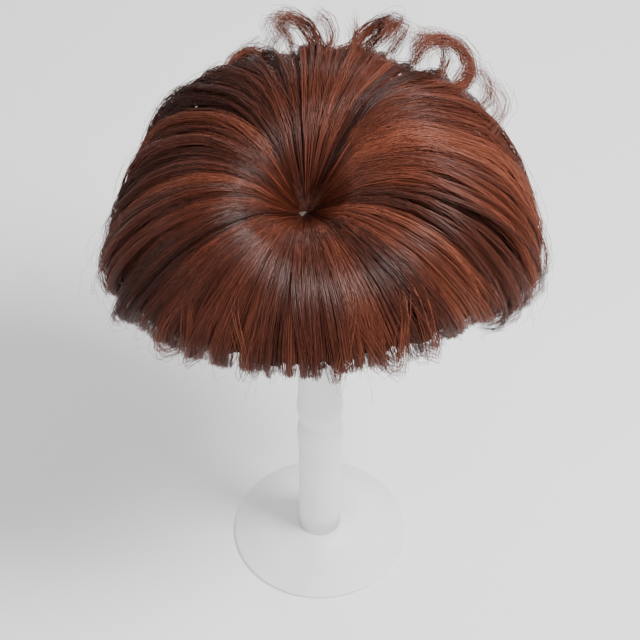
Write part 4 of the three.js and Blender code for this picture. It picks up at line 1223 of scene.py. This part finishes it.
class TOPPER_OT_clips(bpy.types.Operator):
    """Rounds the steel of the three snap clips"""

    bl_idname = "topper.make_clips"
    bl_label = "Clips"

    def execute(self, context):
        settings = context.scene.topper_clip
        steel = steel_material(settings)
        for side in CLIP_SIDES:
            bar = rounded_copy(f"bar_of_clip_{side}", f"clip_frame_{side}", settings.edge)
            fit(bar, "clip_steel", steel, f"clip_frame_{side}")
            comb = rounded_copy(f"comb_of_clip_{side}", f"clip_comb_{side}", settings.edge)
            fit(comb, "clip_steel", steel, f"clip_comb_{side}", body=f"comb_{side}")
        return {"FINISHED"}


class TOPPER_OT_hair_base(bpy.types.Operator):
    """Lays the hair close to the cap, painted dark as shade"""

    bl_idname = "topper.make_hair_base"
    bl_label = "Hair close to the cap"

    def execute(self, context):
        fit(hair_base_object(), "hair", base_shade_material(context.scene.topper_hair))
        return {"FINISHED"}


class TOPPER_OT_hair_locks(bpy.types.Operator):
    """Draws every lock of the hair, strand by strand"""

    bl_idname = "topper.make_hair_locks"
    bl_label = "Hair locks"

    def execute(self, context):
        settings = context.scene.topper_hair
        fibre = hair_material(settings)
        for n, piece in enumerate(HAIR_PIECES):
            rng = np.random.default_rng(100 + n)
            look = LOOKS[piece["node"]]
            if piece["place"] == "hem":
                look = {**look, **LOOK_HEM}
            name = f"{piece['node']}_{piece['place']}"
            fit(strand_object(name, *hair_strands(rng, piece, look, settings)), "hair", fibre, piece["node"])
        return {"FINISHED"}


class TOPPER_OT_hair_curls(bpy.types.Operator):
    """Draws the loose curls that stand off the hair"""

    bl_idname = "topper.make_hair_curls"
    bl_label = "Loose curls"

    def execute(self, context):
        settings = context.scene.topper_hair
        rng = np.random.default_rng(50)
        made = [curl_strands(rng, row, *CURL_STRANDS, settings) for row in CURLS]
        made += [curl_strands(rng, row, *TIP_STRANDS, settings) for row in CURLED_TIPS]
        curls = strand_object("hair_curls", *[np.concatenate(part) for part in zip(*made)])
        fit(curls, "hair", bpy.data.materials["hair_fibre"])
        return {"FINISHED"}


def aim(obj, target):
    """Turns an object to look at a point."""
    obj.rotation_euler = (Vector(target) - obj.location).to_track_quat("-Z", "Y").to_euler()


def softbox(name, place, target, size, power):
    """A soft rectangular studio light."""
    data = bpy.data.lights.new(name, "AREA")
    data.shape = "RECTANGLE"
    data.size, data.size_y = size
    data.energy = power
    lamp = bpy.data.objects.new(name, data)
    bpy.context.scene.collection.objects.link(lamp)
    lamp.location = place
    aim(lamp, target)


class TOPPER_OT_stage(bpy.types.Operator):
    """Sets the camera, the pale floor and the soft lights"""

    bl_idname = "topper.make_stage"
    bl_label = "Stage"

    def execute(self, context):
        settings = context.scene.topper_stage
        scene = context.scene
        data = bpy.data.cameras.new("camera")
        data.lens = data.sensor_width * settings.distance / settings.width
        camera = bpy.data.objects.new("camera", data)
        scene.collection.objects.link(camera)
        target = Vector((0, 0, settings.height))
        camera.location = target + settings.distance * Vector((
            0, -math.cos(settings.elevation), math.sin(settings.elevation)))
        aim(camera, target)
        scene.camera = camera
        half = 4.0
        corners = np.array([(-half, -half, 0), (half, -half, 0), (half, half, 0), (-half, half, 0)])
        floor = mesh_object("studio_floor", corners, [np.array([[0, 1, 2, 3]])])
        material, nodes, links, shader = new_material("studio_paper")
        shader.inputs["Base Color"].default_value = (0.93, 0.93, 0.93, 1)
        shader.inputs["Roughness"].default_value = 0.9
        floor.data.materials.append(material)
        middle = Vector((0, 0, 0.33))
        softbox("key_softbox", (0.75, -0.35, 1.45), middle, (0.5, 0.5), settings.key_power)
        softbox("fill_softbox", (-1.1, -0.9, 0.9), middle, (0.9, 0.9), settings.fill_power)
        softbox("back_softbox", (0.2, 1.3, 1.1), middle, (1.0, 0.5), settings.fill_power)
        world = bpy.data.worlds.new("studio")
        world.use_nodes = True
        background = world.node_tree.nodes["Background"]
        background.inputs["Color"].default_value = (1, 1, 1, 1)
        background.inputs["Strength"].default_value = settings.sky
        scene.world = world
        return {"FINISHED"}


OPERATORS = (
    TOPPER_OT_stand, TOPPER_OT_hair_locks, TOPPER_OT_hair_curls, TOPPER_OT_hair_base, TOPPER_OT_lace,
    TOPPER_OT_bands, TOPPER_OT_clips, TOPPER_OT_stage,
)
SETTINGS = {
    "topper_hair": TopperHairSettings,
    "topper_cap": TopperCapSettings,
    "topper_clip": TopperClipSettings,
    "topper_stand": TopperStandSettings,
    "topper_stage": TopperStageSettings,
}


class TOPPER_PT_panel(bpy.types.Panel):
    """Lists the pieces of the topper and their settings"""

    bl_label = "Hair topper"
    bl_idname = "TOPPER_PT_panel"
    bl_space_type = "VIEW_3D"
    bl_region_type = "UI"
    bl_category = "Topper"

    def draw(self, context):
        for operator in OPERATORS:
            self.layout.operator(operator.bl_idname)
        for name, settings in SETTINGS.items():
            box = self.layout.box()
            for key in settings.__annotations__:
                box.prop(getattr(context.scene, name), key)


def register():
    """Adds the settings, the operators and the panel."""
    for kind in (*SETTINGS.values(), *OPERATORS, TOPPER_PT_panel):
        bpy.utils.register_class(kind)
    for name, settings in SETTINGS.items():
        setattr(bpy.types.Scene, name, bpy.props.PointerProperty(type=settings))


def unregister():
    """Takes the settings, the operators and the panel away."""
    for name in SETTINGS:
        delattr(bpy.types.Scene, name)
    for kind in (TOPPER_PT_panel, *OPERATORS, *SETTINGS.values()):
        bpy.utils.unregister_class(kind)


def main():
    """Makes every piece in order."""
    register()
    bpy.ops.topper.make_stand()
    bpy.ops.topper.make_hair_locks()
    bpy.ops.topper.make_hair_curls()
    bpy.ops.topper.make_hair_base()
    bpy.ops.topper.make_lace()
    bpy.ops.topper.make_bands()
    bpy.ops.topper.make_clips()
    bpy.ops.topper.make_stage()


if __name__ == "__main__":
    main()
